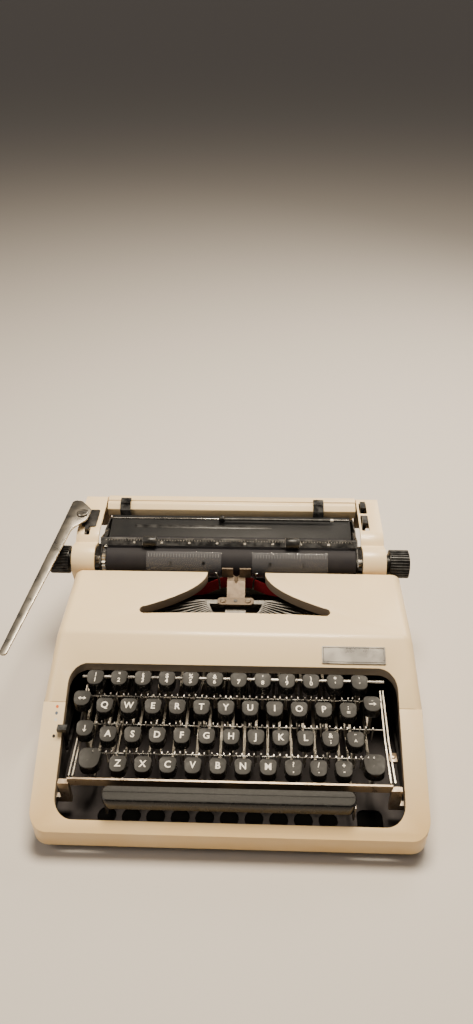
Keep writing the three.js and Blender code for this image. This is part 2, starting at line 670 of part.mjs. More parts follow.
const feedRadius = 4;
const feedY = platenY + 5;
const feedZ = platenZ - Math.sqrt((platenRadius + feedRadius + gap) ** 2 - (feedY - platenY) ** 2);
const feedHalf = frameCheek - 5;
piece('feed_roller', bar('x', feedRadius, -feedHalf, feedHalf, feedY, feedZ, 14), rubber, carriage);

// Platen: rubber sleeve on a steel shaft, ratchet at the left, a ribbed knob at each end.
const sleeveHalf = platenLength / 2;
const knobStart = capOuter + 4;
const sleeve = tube('x', platenRadius, shaftRadius + 0.1, -sleeveHalf + 4, sleeveHalf, platenY, platenZ, 36);
piece('platen', sleeve, rubber, carriage);
const ratchetOutline = Array.from({ length: 48 }, (_, i) => {
  const r = i % 2 ? 12 : 13.4;
  return [platenY + r * Math.cos(Math.PI * i / 24), platenZ + r * Math.sin(Math.PI * i / 24)];
});
piece('platen_shaft', join(
  bar('x', shaftRadius, -knobStart - knobLength + 4, knobStart + knobLength - 4, platenY, platenZ, 16),
  prism('x', ratchetOutline, -sleeveHalf + 0.3, -sleeveHalf + 3.4)), steel, carriage);
for (const [side, sign] of Object.entries({ left: -1, right: 1 })) {
  const ribs = Array.from({ length: 40 }, (_, i) => {
    const r = i % 2 ? knobRadius - 1.1 : knobRadius;
    return [platenY + r * Math.cos(Math.PI * i / 20), platenZ + r * Math.sin(Math.PI * i / 20)];
  });
  const span = (inner, outer) => [sign * inner, sign * outer].sort((a, b) => a - b);
  const knob = join(prism('x', ribs, ...span(knobStart, knobStart + knobLength)),
    bar('x', 8, ...span(capOuter + 1, knobStart + 1), platenY, platenZ, 20));
  const shaftHole = bar('x', shaftRadius + 0.1, ...span(100, knobStart + knobLength - 3.8), platenY, platenZ, 16);
  piece(`platen_knob_${side}`, knob.subtract(shaftHole), blackPlastic, carriage);
}

// Paper bail: a flat scale bar on two arms, with a rubber roller each side.
const bailY = 234;
const bailZ = platenZ + 20.2;
const bailPivotY = 264;
const bailPivotZ = platenZ + 8;
const bailArmX = 116;
function slantBar(halfLength, halfThickness) {
  const c = Math.SQRT1_2;
  return [[1, 1], [-1, 1], [-1, -1], [1, -1]].map(([a, b]) => [
    bailY + c * (a * halfLength - b * halfThickness), bailZ + c * (a * halfLength + b * halfThickness)]);
}
const bailArm = [
  [bailY - 2, bailZ - 1.5], [bailPivotY + 1, bailPivotZ - 2.5],
  [bailPivotY + 3, bailPivotZ + 1], [bailY + 2, bailZ + 2.5]];
piece('paper_bail', join(
  prism('x', slantBar(3.5, 0.7), -bailArmX - 1.5, bailArmX + 1.5),
  prism('x', bailArm, -bailArmX - 1.5, -bailArmX),
  prism('x', bailArm, bailArmX, bailArmX + 1.5)), steel, carriage);
for (const [side, x] of Object.entries({ left: -72, right: 58.5 })) {
  piece(`bail_roller_${side}`, tube('x', 5, 3.9, x - 6, x + 6, bailY, bailZ, 20), rubber, carriage);
}

// Margin stops clip over the front edge of the rear rail.
for (const [side, x] of Object.entries({ left: -103, right: 85 })) {
  piece(`margin_stop_${side}`, prism('x', [
    [285.4, railLipZ - 7], [288, railLipZ - 7], [288, railLipZ + 0.4], [292.8, carriageTopZ - 0.3],
    [298, carriageTopZ + 0.1], [298, carriageTopZ + 2.1], [291.9, carriageTopZ + 1.8], [285.4, railLipZ + 1.2],
  ], x - 5, x + 5), blackPlastic, carriage);
}
piece('paper_rest_arm', join(
  bar('x', 1.3, -8, 99, 276, 108, 8), bar('y', 3, 273.5, 278.5, -8, 108.2, 12)), darkSteel, carriage);

// Levers of the end caps.
piece('line_space_selector', join(
  box(-capOuter + 8, -capOuter + 11, 253, 258, 97, 112),
  box(-capOuter + 7.5, -capOuter + 11.5, 250, 258, 111.5, 114.5)), blackPlastic, carriage);
piece('paper_release_lever', join(
  box(capInner + 4, capInner + 7, 268, 272, 96, 114),
  box(capInner + 3, capInner + 8, 262, 273, 113.5, 116.5)), blackPlastic, carriage);
piece('carriage_release_lever', join(
  box(capInner + 4, capInner + 7, 288, 292, 96, 115),
  box(capInner + 3, capInner + 8, 285, 295, 114.5, 117)), blackPlastic, carriage);

// Return lever: a tapered flat arm that droops forward beside the cover, on a round boss.
const returnTilt = Math.atan(19 / leverLength);
const returnSplay = THREE.MathUtils.degToRad(9);
const returnX = -capOuter + 4;
const returnZ = carriageTopZ + 6.5;
function returnLever() {
  const arm = prism('z', rounded([
    [-15, 17, 4], [-14, -30, 4], [-12, -leverLength, 2.8], [-6, -leverLength, 2.8], [-3.5, -20, 10],
    [6.5, -7, 6], [6.5, 7, 6], [-6, 17, 4]].reverse(), 3), -1.2, 1.2);
  const matrix = new THREE.Matrix4().makeRotationZ(-returnSplay)
    .multiply(new THREE.Matrix4().makeRotationX(returnTilt)).setPosition(returnX, returnPivotY, returnZ);
  return placed(arm, matrix).add(bar('z', 3.4, capFrontTopZ + 3.2, returnZ, returnX, returnPivotY, 12));
}
piece('return_lever', returnLever(), steel, carriage);
// ---- place the origin under the middle of the whole machine ----
machine.updateMatrixWorld(true);
const extent = new THREE.Box3().setFromObject(machine, true);
machine.position.set(-(extent.min.x + extent.max.x) / 2, -(extent.min.y + extent.max.y) / 2, -extent.min.z);

export default machine;
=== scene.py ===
from math import atan, cos, pi, radians, sin, sqrt, tan

import bmesh
import bpy
from mathutils import Matrix, Vector


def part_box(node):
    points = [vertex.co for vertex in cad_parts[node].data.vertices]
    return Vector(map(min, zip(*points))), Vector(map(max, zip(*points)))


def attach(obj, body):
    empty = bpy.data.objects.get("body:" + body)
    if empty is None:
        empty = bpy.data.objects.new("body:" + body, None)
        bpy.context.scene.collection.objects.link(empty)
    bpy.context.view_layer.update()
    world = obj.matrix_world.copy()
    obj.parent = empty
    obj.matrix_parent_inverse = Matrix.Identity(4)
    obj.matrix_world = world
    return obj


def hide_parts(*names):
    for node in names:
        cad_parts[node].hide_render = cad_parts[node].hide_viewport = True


# Portable typewriter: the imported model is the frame, the pieces here are its finished surfaces.
# Helpers take millimetres from the casing's middle (x), its front face (y) and the table (z).
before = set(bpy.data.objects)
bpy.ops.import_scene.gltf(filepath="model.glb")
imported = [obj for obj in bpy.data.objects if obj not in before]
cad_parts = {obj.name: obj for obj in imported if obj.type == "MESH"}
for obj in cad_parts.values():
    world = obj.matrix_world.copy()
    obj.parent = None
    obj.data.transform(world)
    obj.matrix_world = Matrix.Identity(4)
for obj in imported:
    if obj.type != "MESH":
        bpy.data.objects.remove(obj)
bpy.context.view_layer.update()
print("frame loaded:", len(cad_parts), "nodes")

casingLow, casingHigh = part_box("lower_frame")
origin = Vector(((casingLow.x + casingHigh.x) / 2, casingLow.y, 0.0))
mm = 0.001


def addToScene(thing):
    bpy.context.scene.collection.objects.link(thing)


def toFrame(x, y, z):
    return origin + Vector((x, y, z)) * mm


viewSet = {"yaw": -2.37, "tilt": 36.58, "roll": -0.70, "focalPixels": 750.0, "imageHeight": 1024, "sensor": 24.0,
    "place": (21.8, -299.0, 544.0)}


def makeCamera():
    yaw, tilt, roll = (radians(viewSet[k]) for k in ("yaw", "tilt", "roll"))
    ahead = Vector((sin(yaw) * cos(tilt), cos(yaw) * cos(tilt), -sin(tilt)))
    side = Vector((cos(yaw), -sin(yaw), 0.0))
    above = side.cross(ahead)
    right = side * cos(roll) + above * sin(roll)
    up = above * cos(roll) - side * sin(roll)
    data = bpy.data.cameras.new("mainCamera")
    data.sensor_fit = "VERTICAL"
    data.sensor_height = viewSet["sensor"]
    data.lens = viewSet["focalPixels"] * viewSet["sensor"] / viewSet["imageHeight"]
    data.clip_start = 0.01
    camera = bpy.data.objects.new("mainCamera", data)
    turn = Matrix((right, up, -ahead)).transposed().to_4x4()
    camera.matrix_world = Matrix.Translation(toFrame(*viewSet["place"])) @ turn
    addToScene(camera)
    bpy.context.scene.camera = camera


def makeLight(name, place, size, power, color, target=(0, 150, 60)):
    data = bpy.data.lights.new(name, "AREA")
    data.shape = "RECTANGLE"
    data.size, data.size_y = size
    data.energy = power
    data.color = color
    light = bpy.data.objects.new(name, data)
    light.location = toFrame(*place)
    light.rotation_euler = (toFrame(*target) - light.location).to_track_quat("-Z", "Y").to_euler()
    addToScene(light)


# Each light: name, place, size in metres, power in watts and colour.
lightSet = (("ceilingLight", (60, 420, 1250), (0.5, 0.4), 34, (1.0, 0.87, 0.68)),
    ("windowLight", (-900, -200, 900), (0.6, 0.6), 4, (1.0, 0.90, 0.78)),
    ("rearLight", (600, 900, 700), (0.6, 0.5), 6, (1.0, 0.90, 0.76)))
roomSet = {"air": (0.86, 0.80, 0.74, 1), "airStrength": 0.13, "floorHalf": 60, "floorColor": (0.62, 0.57, 0.52, 1),
    "floorRough": 0.75}


def makeStage():
    for light in lightSet:
        makeLight(*light)
    world = bpy.data.worlds.new("softRoom")
    world.use_nodes = True
    background = world.node_tree.nodes["Background"]
    background.inputs["Color"].default_value = roomSet["air"]
    background.inputs["Strength"].default_value = roomSet["airStrength"]
    bpy.context.scene.world = world
    mesh = bpy.data.meshes.new("floor")
    half = roomSet["floorHalf"]
    mesh.from_pydata([(-half, -half, 0), (half, -half, 0), (half, half, 0), (-half, half, 0)], [], [(0, 1, 2, 3)])
    floor = bpy.data.objects.new("floor", mesh)
    addToScene(floor)
    paint = bpy.data.materials.new("paleFloor")
    paint.use_nodes = True
    shader = paint.node_tree.nodes["Principled BSDF"]
    shader.inputs["Base Color"].default_value = roomSet["floorColor"]
    shader.inputs["Roughness"].default_value = roomSet["floorRough"]
    mesh.materials.append(paint)


makeCamera()
makeStage()
print("camera, lights and floor made")


# An input is a colour or a number, as its value says.
def newGroup(name, inputs, outputs):
    group = bpy.data.node_groups.new(name, "ShaderNodeTree")
    for label, value in inputs:
        kind = "NodeSocketColor" if isinstance(value, tuple) else "NodeSocketFloat"
        group.interface.new_socket(label, in_out="INPUT", socket_type=kind).default_value = value
    for label, kind in outputs:
        group.interface.new_socket(label, in_out="OUTPUT", socket_type="NodeSocket" + kind)
    return group, group.nodes.new("NodeGroupInput"), group.nodes.new("NodeGroupOutput")


def connect(tree, source, target):
    tree.links.new(source, target)


def noise(tree, vector, scale, detail=4.0, rough=0.55):
    node = tree.nodes.new("ShaderNodeTexNoise")
    node.inputs["Detail"].default_value = detail
    node.inputs["Roughness"].default_value = rough
    if isinstance(scale, float):
        node.inputs["Scale"].default_value = scale
    else:
        connect(tree, scale, node.inputs["Scale"])
    connect(tree, vector, node.inputs["Vector"])
    return node


def ramp(tree, value, low, high, start=0.0, end=1.0):
    node = tree.nodes.new("ShaderNodeMapRange")
    for label, number in (("From Min", low), ("From Max", high), ("To Min", start), ("To Max", end)):
        node.inputs[label].default_value = number
    connect(tree, value, node.inputs["Value"])
    return node.outputs["Result"]


def mixColor(tree, factor, first, second, mode="MIX"):
    node = tree.nodes.new("ShaderNodeMix")
    node.data_type = "RGBA"
    node.blend_type = mode
    for value, socket in ((factor, node.inputs[0]), (first, node.inputs[6]), (second, node.inputs[7])):
        if isinstance(value, (tuple, float)):
            socket.default_value = value
        else:
            connect(tree, value, socket)
    return node.outputs[2]


def math2(tree, operation, first, second):
    node = tree.nodes.new("ShaderNodeMath")
    node.operation = operation
    for value, socket in ((first, node.inputs[0]), (second, node.inputs[1])):
        if isinstance(value, float):
            socket.default_value = value
        else:
            connect(tree, value, socket)
    return node.outputs[0]


# Grain: fine bump, cloudy colour and a roughness that wanders, for every moulded or painted surface.
def makeGrainGroup():
    group, entry, leave = newGroup("surfaceGrain", [("Color", (0.5, 0.5, 0.5, 1)), ("Stain", (0.4, 0.4, 0.4, 1)),
        ("Stain Amount", 0.2), ("Stain Scale", 30.0), ("Grain Scale", 900.0), ("Bump", 0.1),
        ("Roughness", 0.4), ("Roughness Spread", 0.1)],
        [("Color", "Color"), ("Roughness", "Float"), ("Normal", "Vector")])
    where = group.nodes.new("ShaderNodeTexCoord").outputs["Object"]
    clouds = noise(group, where, entry.outputs["Stain Scale"], 5.0, 0.6).outputs["Fac"]
    grain = noise(group, where, entry.outputs["Grain Scale"], 2.0, 0.5).outputs["Fac"]
    amount = math2(group, "MULTIPLY", ramp(group, clouds, 0.35, 0.75), entry.outputs["Stain Amount"])
    connect(group, mixColor(group, amount, entry.outputs["Color"], entry.outputs["Stain"]), leave.inputs["Color"])
    wander = math2(group, "MULTIPLY", ramp(group, clouds, 0.3, 0.7, -1.0, 1.0), entry.outputs["Roughness Spread"])
    connect(group, math2(group, "ADD", wander, entry.outputs["Roughness"]), leave.inputs["Roughness"])
    bump = group.nodes.new("ShaderNodeBump")
    bump.inputs["Distance"].default_value = 0.0004
    connect(group, entry.outputs["Bump"], bump.inputs["Strength"])
    connect(group, grain, bump.inputs["Height"])
    connect(group, bump.outputs["Normal"], leave.inputs["Normal"])
    return group


# Wear: a mask that is strongest on outer edges, broken up by noise.
def makeWearGroup():
    group, entry, leave = newGroup("edgeWear", [("Color", (0.5, 0.5, 0.5, 1)), ("Worn", (0.7, 0.7, 0.7, 1)),
        ("Amount", 0.5), ("Low", 0.52), ("High", 0.62)], [("Color", "Color"), ("Mask", "Float")])
    where = group.nodes.new("ShaderNodeTexCoord").outputs["Object"]
    point = group.nodes.new("ShaderNodeNewGeometry").outputs["Pointiness"]
    edge = group.nodes.new("ShaderNodeMapRange")
    connect(group, point, edge.inputs["Value"])
    connect(group, entry.outputs["Low"], edge.inputs["From Min"])
    connect(group, entry.outputs["High"], edge.inputs["From Max"])
    broken = ramp(group, noise(group, where, 160.0, 6.0, 0.7).outputs["Fac"], 0.42, 0.62)
    mask = math2(group, "MULTIPLY", math2(group, "MULTIPLY", edge.outputs["Result"], broken), entry.outputs["Amount"])
    connect(group, mixColor(group, mask, entry.outputs["Color"], entry.outputs["Worn"]), leave.inputs["Color"])
    connect(group, mask, leave.inputs["Mask"])
    return group


grainGroup = makeGrainGroup()
wearGroup = makeWearGroup()


def useGroup(tree, group, values):
    node = tree.nodes.new("ShaderNodeGroup")
    node.node_tree = group
    for label, value in values.items():
        if isinstance(value, bpy.types.NodeSocket):
            connect(tree, value, node.inputs[label])
        else:
            node.inputs[label].default_value = value
    return node


# One finish: grain and stain, then worn edges, into a Principled shader.
def makeFinish(name, color, stain, rough, stainAmount=0.2, stainScale=30.0, grain=900.0, bump=0.1, spread=0.08,
        metal=0.0, worn=None, wornAmount=0.6, coat=0.0, alpha=1.0, specular=0.5, baseColor=None):
    material = bpy.data.materials.new(name)
    material.use_nodes = True
    tree = material.node_tree
    shader = tree.nodes["Principled BSDF"]
    values = {"Stain": (*stain, 1), "Stain Amount": stainAmount, "Stain Scale": stainScale, "Grain Scale": grain,
        "Bump": bump, "Roughness": rough, "Roughness Spread": spread}
    values["Color"] = baseColor(tree) if baseColor else (*color, 1)
    surface = useGroup(tree, grainGroup, values)
    shade = surface.outputs["Color"]
    if worn:
        shade = useGroup(tree, wearGroup, {"Color": shade, "Worn": (*worn, 1), "Amount": wornAmount}).outputs["Color"]
    connect(tree, shade, shader.inputs["Base Color"])
    connect(tree, surface.outputs["Roughness"], shader.inputs["Roughness"])
    connect(tree, surface.outputs["Normal"], shader.inputs["Normal"])
    for label, value in (("Metallic", metal), ("Coat Weight", coat), ("Alpha", alpha),
        ("Specular IOR Level", specular)):
        shader.inputs[label].default_value = value
    return material


# Ivory that has yellowed towards the front and the lower edge.
creamSet = {"fresh": (0.87, 0.67, 0.40), "yellowed": (0.86, 0.56, 0.21), "grime": (0.42, 0.29, 0.15)}


def yellowing(tree):
    where = tree.nodes.new("ShaderNodeTexCoord").outputs["Object"]
    split = tree.nodes.new("ShaderNodeSeparateXYZ")
    connect(tree, where, split.inputs[0])
    low = (toFrame(0, -5, 0).y, toFrame(0, 60, 0).y)
    forward = ramp(tree, split.outputs["Y"], low[0], low[1], 0.85, 0.0)
    cloudy = ramp(tree, noise(tree, where, 14.0, 4.0, 0.6).outputs["Fac"], 0.3, 0.7, 0.45, 1.0)
    return mixColor(tree, math2(tree, "MULTIPLY", forward, cloudy), (*creamSet["fresh"], 1),
        (*creamSet["yellowed"], 1))


cream = makeFinish("ivoryShell", creamSet["fresh"], creamSet["grime"], 0.36, 0.10, 9.0, 1600.0, 0.04, 0.06,
    worn=(0.86, 0.78, 0.64), wornAmount=0.35, coat=0.15, baseColor=yellowing)
# Darkened cream on the inner and cut faces of the shells is painted shade in the openings, rims and hollows.
paintedShadeBrown = makeFinish("shadedLip", (0.34, 0.27, 0.20), (0.2, 0.15, 0.1), 0.55, 0.3)
capTop = makeFinish("keyTopGrey", (0.040, 0.039, 0.037), (0.025, 0.023, 0.021), 0.45, 0.4, 300.0, 2600.0, 0.10,
    worn=(0.17, 0.16, 0.15), wornAmount=0.5, specular=0.12)
capSkirt = makeFinish("keySkirtBlack", (0.005, 0.005, 0.0055), (0.015, 0.014, 0.012), 0.24, 0.25, 200.0, 1800.0, 0.03,
    worn=(0.08, 0.075, 0.07), specular=0.35)
legendWhite = makeFinish("legendWhite", (0.82, 0.76, 0.66), (0.5, 0.45, 0.38), 0.5, 0.3, 500.0)
blackPlastic = makeFinish("blackPlastic", (0.006, 0.006, 0.0065), (0.02, 0.018, 0.016), 0.34, 0.3, 120.0, 1500.0,
    0.05, worn=(0.10, 0.10, 0.10), specular=0.3)
steel = makeFinish("nickelSteel", (0.62, 0.59, 0.54), (0.26, 0.22, 0.17), 0.26, 0.5, 60.0, 1200.0, 0.05, 0.12,
    metal=1.0, worn=(0.8, 0.78, 0.74))
leverSteel = makeFinish("leverSteel", (0.40, 0.37, 0.32), (0.14, 0.11, 0.08), 0.34, 0.6, 90.0, 1400.0, 0.05, 0.12,
    metal=1.0)
darkSteel = makeFinish("darkSteel", (0.016, 0.0155, 0.016), (0.035, 0.03, 0.026), 0.5, 0.3, 40.0, 1300.0, 0.08,
    metal=0.2, worn=(0.20, 0.19, 0.18), specular=0.3)
tanSteel = makeFinish("agedNickel", (0.40, 0.31, 0.215), (0.25, 0.17, 0.10), 0.36, 0.6, 80.0, 1200.0, 0.06, 0.12,
    metal=0.9, worn=(0.66, 0.6, 0.5))
platenRubber = makeFinish("platenRubber", (0.020, 0.019, 0.023), (0.045, 0.042, 0.04), 0.6, 0.35, 50.0, 1600.0, 0.10,
    specular=0.12)
tableGrey = makeFinish("paperTableGrey", (0.013, 0.0135, 0.015), (0.03, 0.029, 0.028), 0.5, 0.3, 60.0, 2200.0, 0.25,
    specular=0.15)
stippled = makeFinish("stippledBar", (0.050, 0.049, 0.047), (0.03, 0.03, 0.028), 0.5, 0.5, 700.0, 1100.0, 0.9,
    worn=(0.16, 0.155, 0.15), specular=0.12)
ribbonRed = makeFinish("ribbonRed", (0.42, 0.010, 0.022), (0.16, 0.0, 0.01), 0.8, 0.5, 700.0, 2600.0, 0.5)
clearPlastic = makeFinish("clearCard", (0.30, 0.30, 0.32), (0.2, 0.2, 0.2), 0.10, 0.2, 200.0, 900.0, 0.02, alpha=0.10)
graduation = makeFinish("graduation", (0.20, 0.20, 0.20), (0.1, 0.1, 0.1), 0.5, 0.4, 400.0)
# Near-black of the sheet under the keyboard: painted shade beneath the machine.
shadeSheetBlack = makeFinish("shadeSheetBlack", (0.003, 0.003, 0.003), (0.006, 0.006, 0.006), 0.95, 0.3, 400.0, specular=0.05)
panGrey = makeFinish("panGrey", (0.050, 0.045, 0.047), (0.030, 0.026, 0.026), 0.6, 0.3, 25.0, 900.0, 0.15,
    specular=0.15)
guideNickel = makeFinish("guideNickel", (0.26, 0.20, 0.145), (0.10, 0.07, 0.045), 0.42, 0.7, 220.0, 1200.0, 0.08,
    0.12, metal=0.75)
barSteel = makeFinish("typebarSteel", (0.075, 0.070, 0.064), (0.02, 0.018, 0.016), 0.42, 0.6, 90.0, 1400.0, 0.05,
    0.12, metal=0.8)
plateMetal = makeFinish("brushedPlate", (0.52, 0.49, 0.45), (0.3, 0.27, 0.23), 0.34, 0.4, 60.0, 1500.0, 0.1, 0.1,
    metal=0.9)
footRubber = makeFinish("footRubber", (0.02, 0.02, 0.02), (0.05, 0.05, 0.05), 0.8, 0.4, 60.0)
print("finishes made")


# A Shape collects closed parts in millimetres, each face with the index of its material.
class Shape:
    def __init__(self):
        self.points, self.faces, self.slots = [], [], []

    def add(self, points, faces, slot=0):
        start = len(self.points)
        self.points += [tuple(p) for p in points]
        self.faces += [tuple(i + start for i in face) for face in faces]
        self.slots += [slot] * len(faces) if isinstance(slot, int) else list(slot)
        return self

    # Rings of equal length, joined one to the next; slot may be a list with one entry per band.
    def loft(self, rings, slot=0, capSlots=None):
        count = len(rings[0])
        points = [p for ring in rings for p in ring]
        faces, slots = [], []
        for band in range(len(rings) - 1):
            for i in range(count):
                j = (i + 1) % count
                faces.append((band * count + i, band * count + j, (band + 1) * count + j, (band + 1) * count + i))
                slots.append(slot if isinstance(slot, int) else slot[band])
        first, last = capSlots or (slots[0], slots[-1])
        faces.append(tuple(reversed(range(count))))
        faces.append(tuple(range((len(rings) - 1) * count, len(rings) * count)))
        return self.add(points, faces, slots + [first, last])

    def prism(self, axis, outline, low, high, slot=0):
        order = {"x": lambda u, v, w: (w, u, v), "y": lambda u, v, w: (u, w, v), "z": lambda u, v, w: (u, v, w)}[axis]
        return self.loft([[order(u, v, w) for u, v in outline] for w in (low, high)], slot)

    def box(self, x0, x1, y0, y1, z0, z1, slot=0):
        return self.prism("z", oblong(x0, x1, y0, y1), z0, z1, slot)

    def bar(self, axis, radius, low, high, u, v, slot=0, sides=32):
        return self.prism(axis, circle(radius, u, v, sides), low, high, slot)

    # A turned piece: profile is (radius, height along the axis), closed on itself when hollow.
    def turned(self, axis, profile, u, v, slot=0, sides=40, hollow=False):
        order = {"x": lambda a, b, w: (w, a, b), "y": lambda a, b, w: (a, w, b), "z": lambda a, b, w: (a, b, w)}[axis]
        rings = [[order(u + r * cos(t), v + r * sin(t), w) for t in turns(sides)] for r, w in profile]
        if not hollow:
            return self.loft(rings, slot)
        points = [p for ring in rings for p in ring]
        faces, slots = [], []
        for band in range(len(rings)):
            above = (band + 1) % len(rings)
            for i in range(sides):
                j = (i + 1) % sides
                faces.append((band * sides + i, band * sides + j, above * sides + j, above * sides + i))
                slots.append(slot if isinstance(slot, int) else slot[band])
        return self.add(points, faces, slots)

    def moved(self, change):
        self.points = [tuple(change(p)) for p in self.points]
        return self


def turns(sides):
    return [2 * pi * i / sides for i in range(sides)]


def circle(radius, u=0.0, v=0.0, sides=32):
    return [(u + radius * cos(t), v + radius * sin(t)) for t in turns(sides)]


# The corners of a rectangle, each with the radius when one is given.
def oblong(x0, x1, y0, y1, *radius):
    return [(x0, y0, *radius), (x1, y0, *radius), (x1, y1, *radius), (x0, y1, *radius)]


# Corners are (u, v) or (u, v, radius); rounded ones become arcs.
def rounded(corners, steps=5):
    points = []
    for i, corner in enumerate(corners):
        here = Vector(corner[:2])
        radius = corner[2] if len(corner) > 2 else 0.0
        if radius <= 0:
            points.append(tuple(here))
            continue
        before = (Vector(corners[i - 1][:2]) - here).normalized()
        after = (Vector(corners[(i + 1) % len(corners)][:2]) - here).normalized()
        half = before.angle(after) / 2
        middle = here + (before + after).normalized() * radius / sin(half)
        start = here + before * radius / tan(half) - middle
        end = here + after * radius / tan(half) - middle
        for k in range(steps + 1):
            arm = start.normalized().slerp(end.normalized(), k / steps)
            points.append(tuple(middle + arm * radius))
    return points


def cleanMesh(mesh):
    work = bmesh.new()
    work.from_mesh(mesh)
    bmesh.ops.remove_doubles(work, verts=work.verts, dist=1e-6)
    bmesh.ops.recalc_face_normals(work, faces=work.faces)
    work.to_mesh(mesh)
    work.free()


def smoothMesh(mesh, angle):
    mesh.shade_smooth()
    mesh.set_sharp_from_angle(angle=radians(angle))


# Turns the object's modifiers into plain mesh and drops them.
def bake(piece):
    evaluated = piece.evaluated_get(bpy.context.evaluated_depsgraph_get())
    mesh = bpy.data.meshes.new_from_object(evaluated)
    piece.modifiers.clear()
    piece.data = mesh
    return piece


def solidObject(name, shape, materials=()):
    mesh = bpy.data.meshes.new(name)
    mesh.from_pydata([toFrame(*p) for p in shape.points], [], shape.faces)
    for material in materials:
        mesh.materials.append(material)
    mesh.polygons.foreach_set("material_index", shape.slots)
    cleanMesh(mesh)
    piece = bpy.data.objects.new(name, mesh)
    addToScene(piece)
    return piece


# Segments of a rounded edge and the least angle in degrees that is rounded.
bevelSet = {"piece": (2, 38), "shell": (3, 42)}


def bevelEdges(piece, width, kind):
    edge = piece.modifiers.new("edge", "BEVEL")
    edge.width = width * mm
    edge.segments = bevelSet[kind][0]
    edge.limit_method = "ANGLE"
    edge.angle_limit = radians(bevelSet[kind][1])
    bake(piece)


def makePiece(name, shape, materials, body=None, nodes=(), bevel=0.0, angle=35):
    piece = solidObject(name, shape, materials)
    if bevel:
        bevelEdges(piece, bevel, "piece")
    smoothMesh(piece.data, angle)
    return mount(piece, body, nodes)


def mount(piece, body, nodes):
    if nodes:
        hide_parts(*nodes)
    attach(piece, body)
    return piece


# Geometry Nodes: repeats a shape along a step and a turn about a pivot, with a small random turn.
def makeRepeatTree():
    tree = bpy.data.node_groups.new("repeatShape", "GeometryNodeTree")
    sockets = [("Geometry", "NodeSocketGeometry", None), ("Count", "NodeSocketInt", 10),
        ("Step", "NodeSocketVector", (0.001, 0, 0)), ("Pivot", "NodeSocketVector", (0, 0, 0)),
        ("Turn", "NodeSocketVector", (0, 0, 0)), ("Looseness", "NodeSocketVector", (0, 0, 0)),
        ("Seed", "NodeSocketInt", 1), ("Material", "NodeSocketMaterial", None)]
    for label, kind, value in sockets:
        socket = tree.interface.new_socket(label, in_out="INPUT", socket_type=kind)
        if value is not None:
            socket.default_value = value
    tree.interface.new_socket("Geometry", in_out="OUTPUT", socket_type="NodeSocketGeometry")
    entry, leave = tree.nodes.new("NodeGroupInput"), tree.nodes.new("NodeGroupOutput")
    centred = tree.nodes.new("GeometryNodeTransform")
    opposite = tree.nodes.new("ShaderNodeVectorMath")
    opposite.operation = "SCALE"
    opposite.inputs["Scale"].default_value = -1.0
    line = tree.nodes.new("GeometryNodeMeshLine")
    index = tree.nodes.new("GeometryNodeInputIndex")
    spin = tree.nodes.new("ShaderNodeVectorMath")
    spin.operation = "SCALE"
    loose = tree.nodes.new("FunctionNodeRandomValue")
    loose.data_type = "FLOAT_VECTOR"
    loose.inputs[0].default_value = (-1, -1, -1)
    loose.inputs[1].default_value = (1, 1, 1)
    wobble = tree.nodes.new("ShaderNodeVectorMath")
    wobble.operation = "MULTIPLY_ADD"
    copies = tree.nodes.new("GeometryNodeInstanceOnPoints")
    solid = tree.nodes.new("GeometryNodeRealizeInstances")
    paint = tree.nodes.new("GeometryNodeSetMaterial")
    for source, target in (
        (entry.outputs["Pivot"], opposite.inputs[0]), (entry.outputs["Geometry"], centred.inputs["Geometry"]),
        (opposite.outputs[0], centred.inputs["Translation"]), (entry.outputs["Count"], line.inputs["Count"]),
        (entry.outputs["Pivot"], line.inputs["Start Location"]), (entry.outputs["Step"], line.inputs["Offset"]),
        (entry.outputs["Turn"], spin.inputs[0]), (index.outputs[0], spin.inputs["Scale"]),
        (entry.outputs["Seed"], loose.inputs["Seed"]), (loose.outputs[0], wobble.inputs[0]),
        (entry.outputs["Looseness"], wobble.inputs[1]), (spin.outputs[0], wobble.inputs[2]),
        (line.outputs["Mesh"], copies.inputs["Points"]), (centred.outputs["Geometry"], copies.inputs["Instance"]),
        (wobble.outputs[0], copies.inputs["Rotation"]), (copies.outputs["Instances"], solid.inputs["Geometry"]),
        (solid.outputs["Geometry"], paint.inputs["Geometry"]), (entry.outputs["Material"], paint.inputs["Material"]),
        (paint.outputs["Geometry"], leave.inputs["Geometry"])):
        connect(tree, source, target)
    return tree


repeatTree = makeRepeatTree()


# step is in millimetres, pivot a place in the casing's frame and turn in degrees for each copy.
def repeatPiece(name, shape, material, body, count, step=(0, 0, 0), pivot=(0, 0, 0), turn=(0, 0, 0), loose=(0, 0, 0),
        nodes=(), seed=1):
    piece = solidObject(name, shape)
    repeat = piece.modifiers.new("repeat", "NODES")
    repeat.node_group = repeatTree
    values = {"Count": count, "Step": tuple(v * mm for v in step), "Pivot": tuple(toFrame(*pivot)),
        "Turn": tuple(radians(v) for v in turn), "Looseness": tuple(radians(v) for v in loose),
        "Seed": seed, "Material": material}
    for item in repeatTree.interface.items_tree:
        if item.in_out == "INPUT" and item.name in values:
            repeat[item.identifier] = values[item.name]
    bake(piece)
    smoothMesh(piece.data, 35)
    return mount(piece, body, nodes)


# Lettering as thin closed shapes; place turns a flat point into one of the casing's frame.
glyphStore = {}
letterSet = {"depth": 0.05, "boldness": 0.018, "steps": 3}


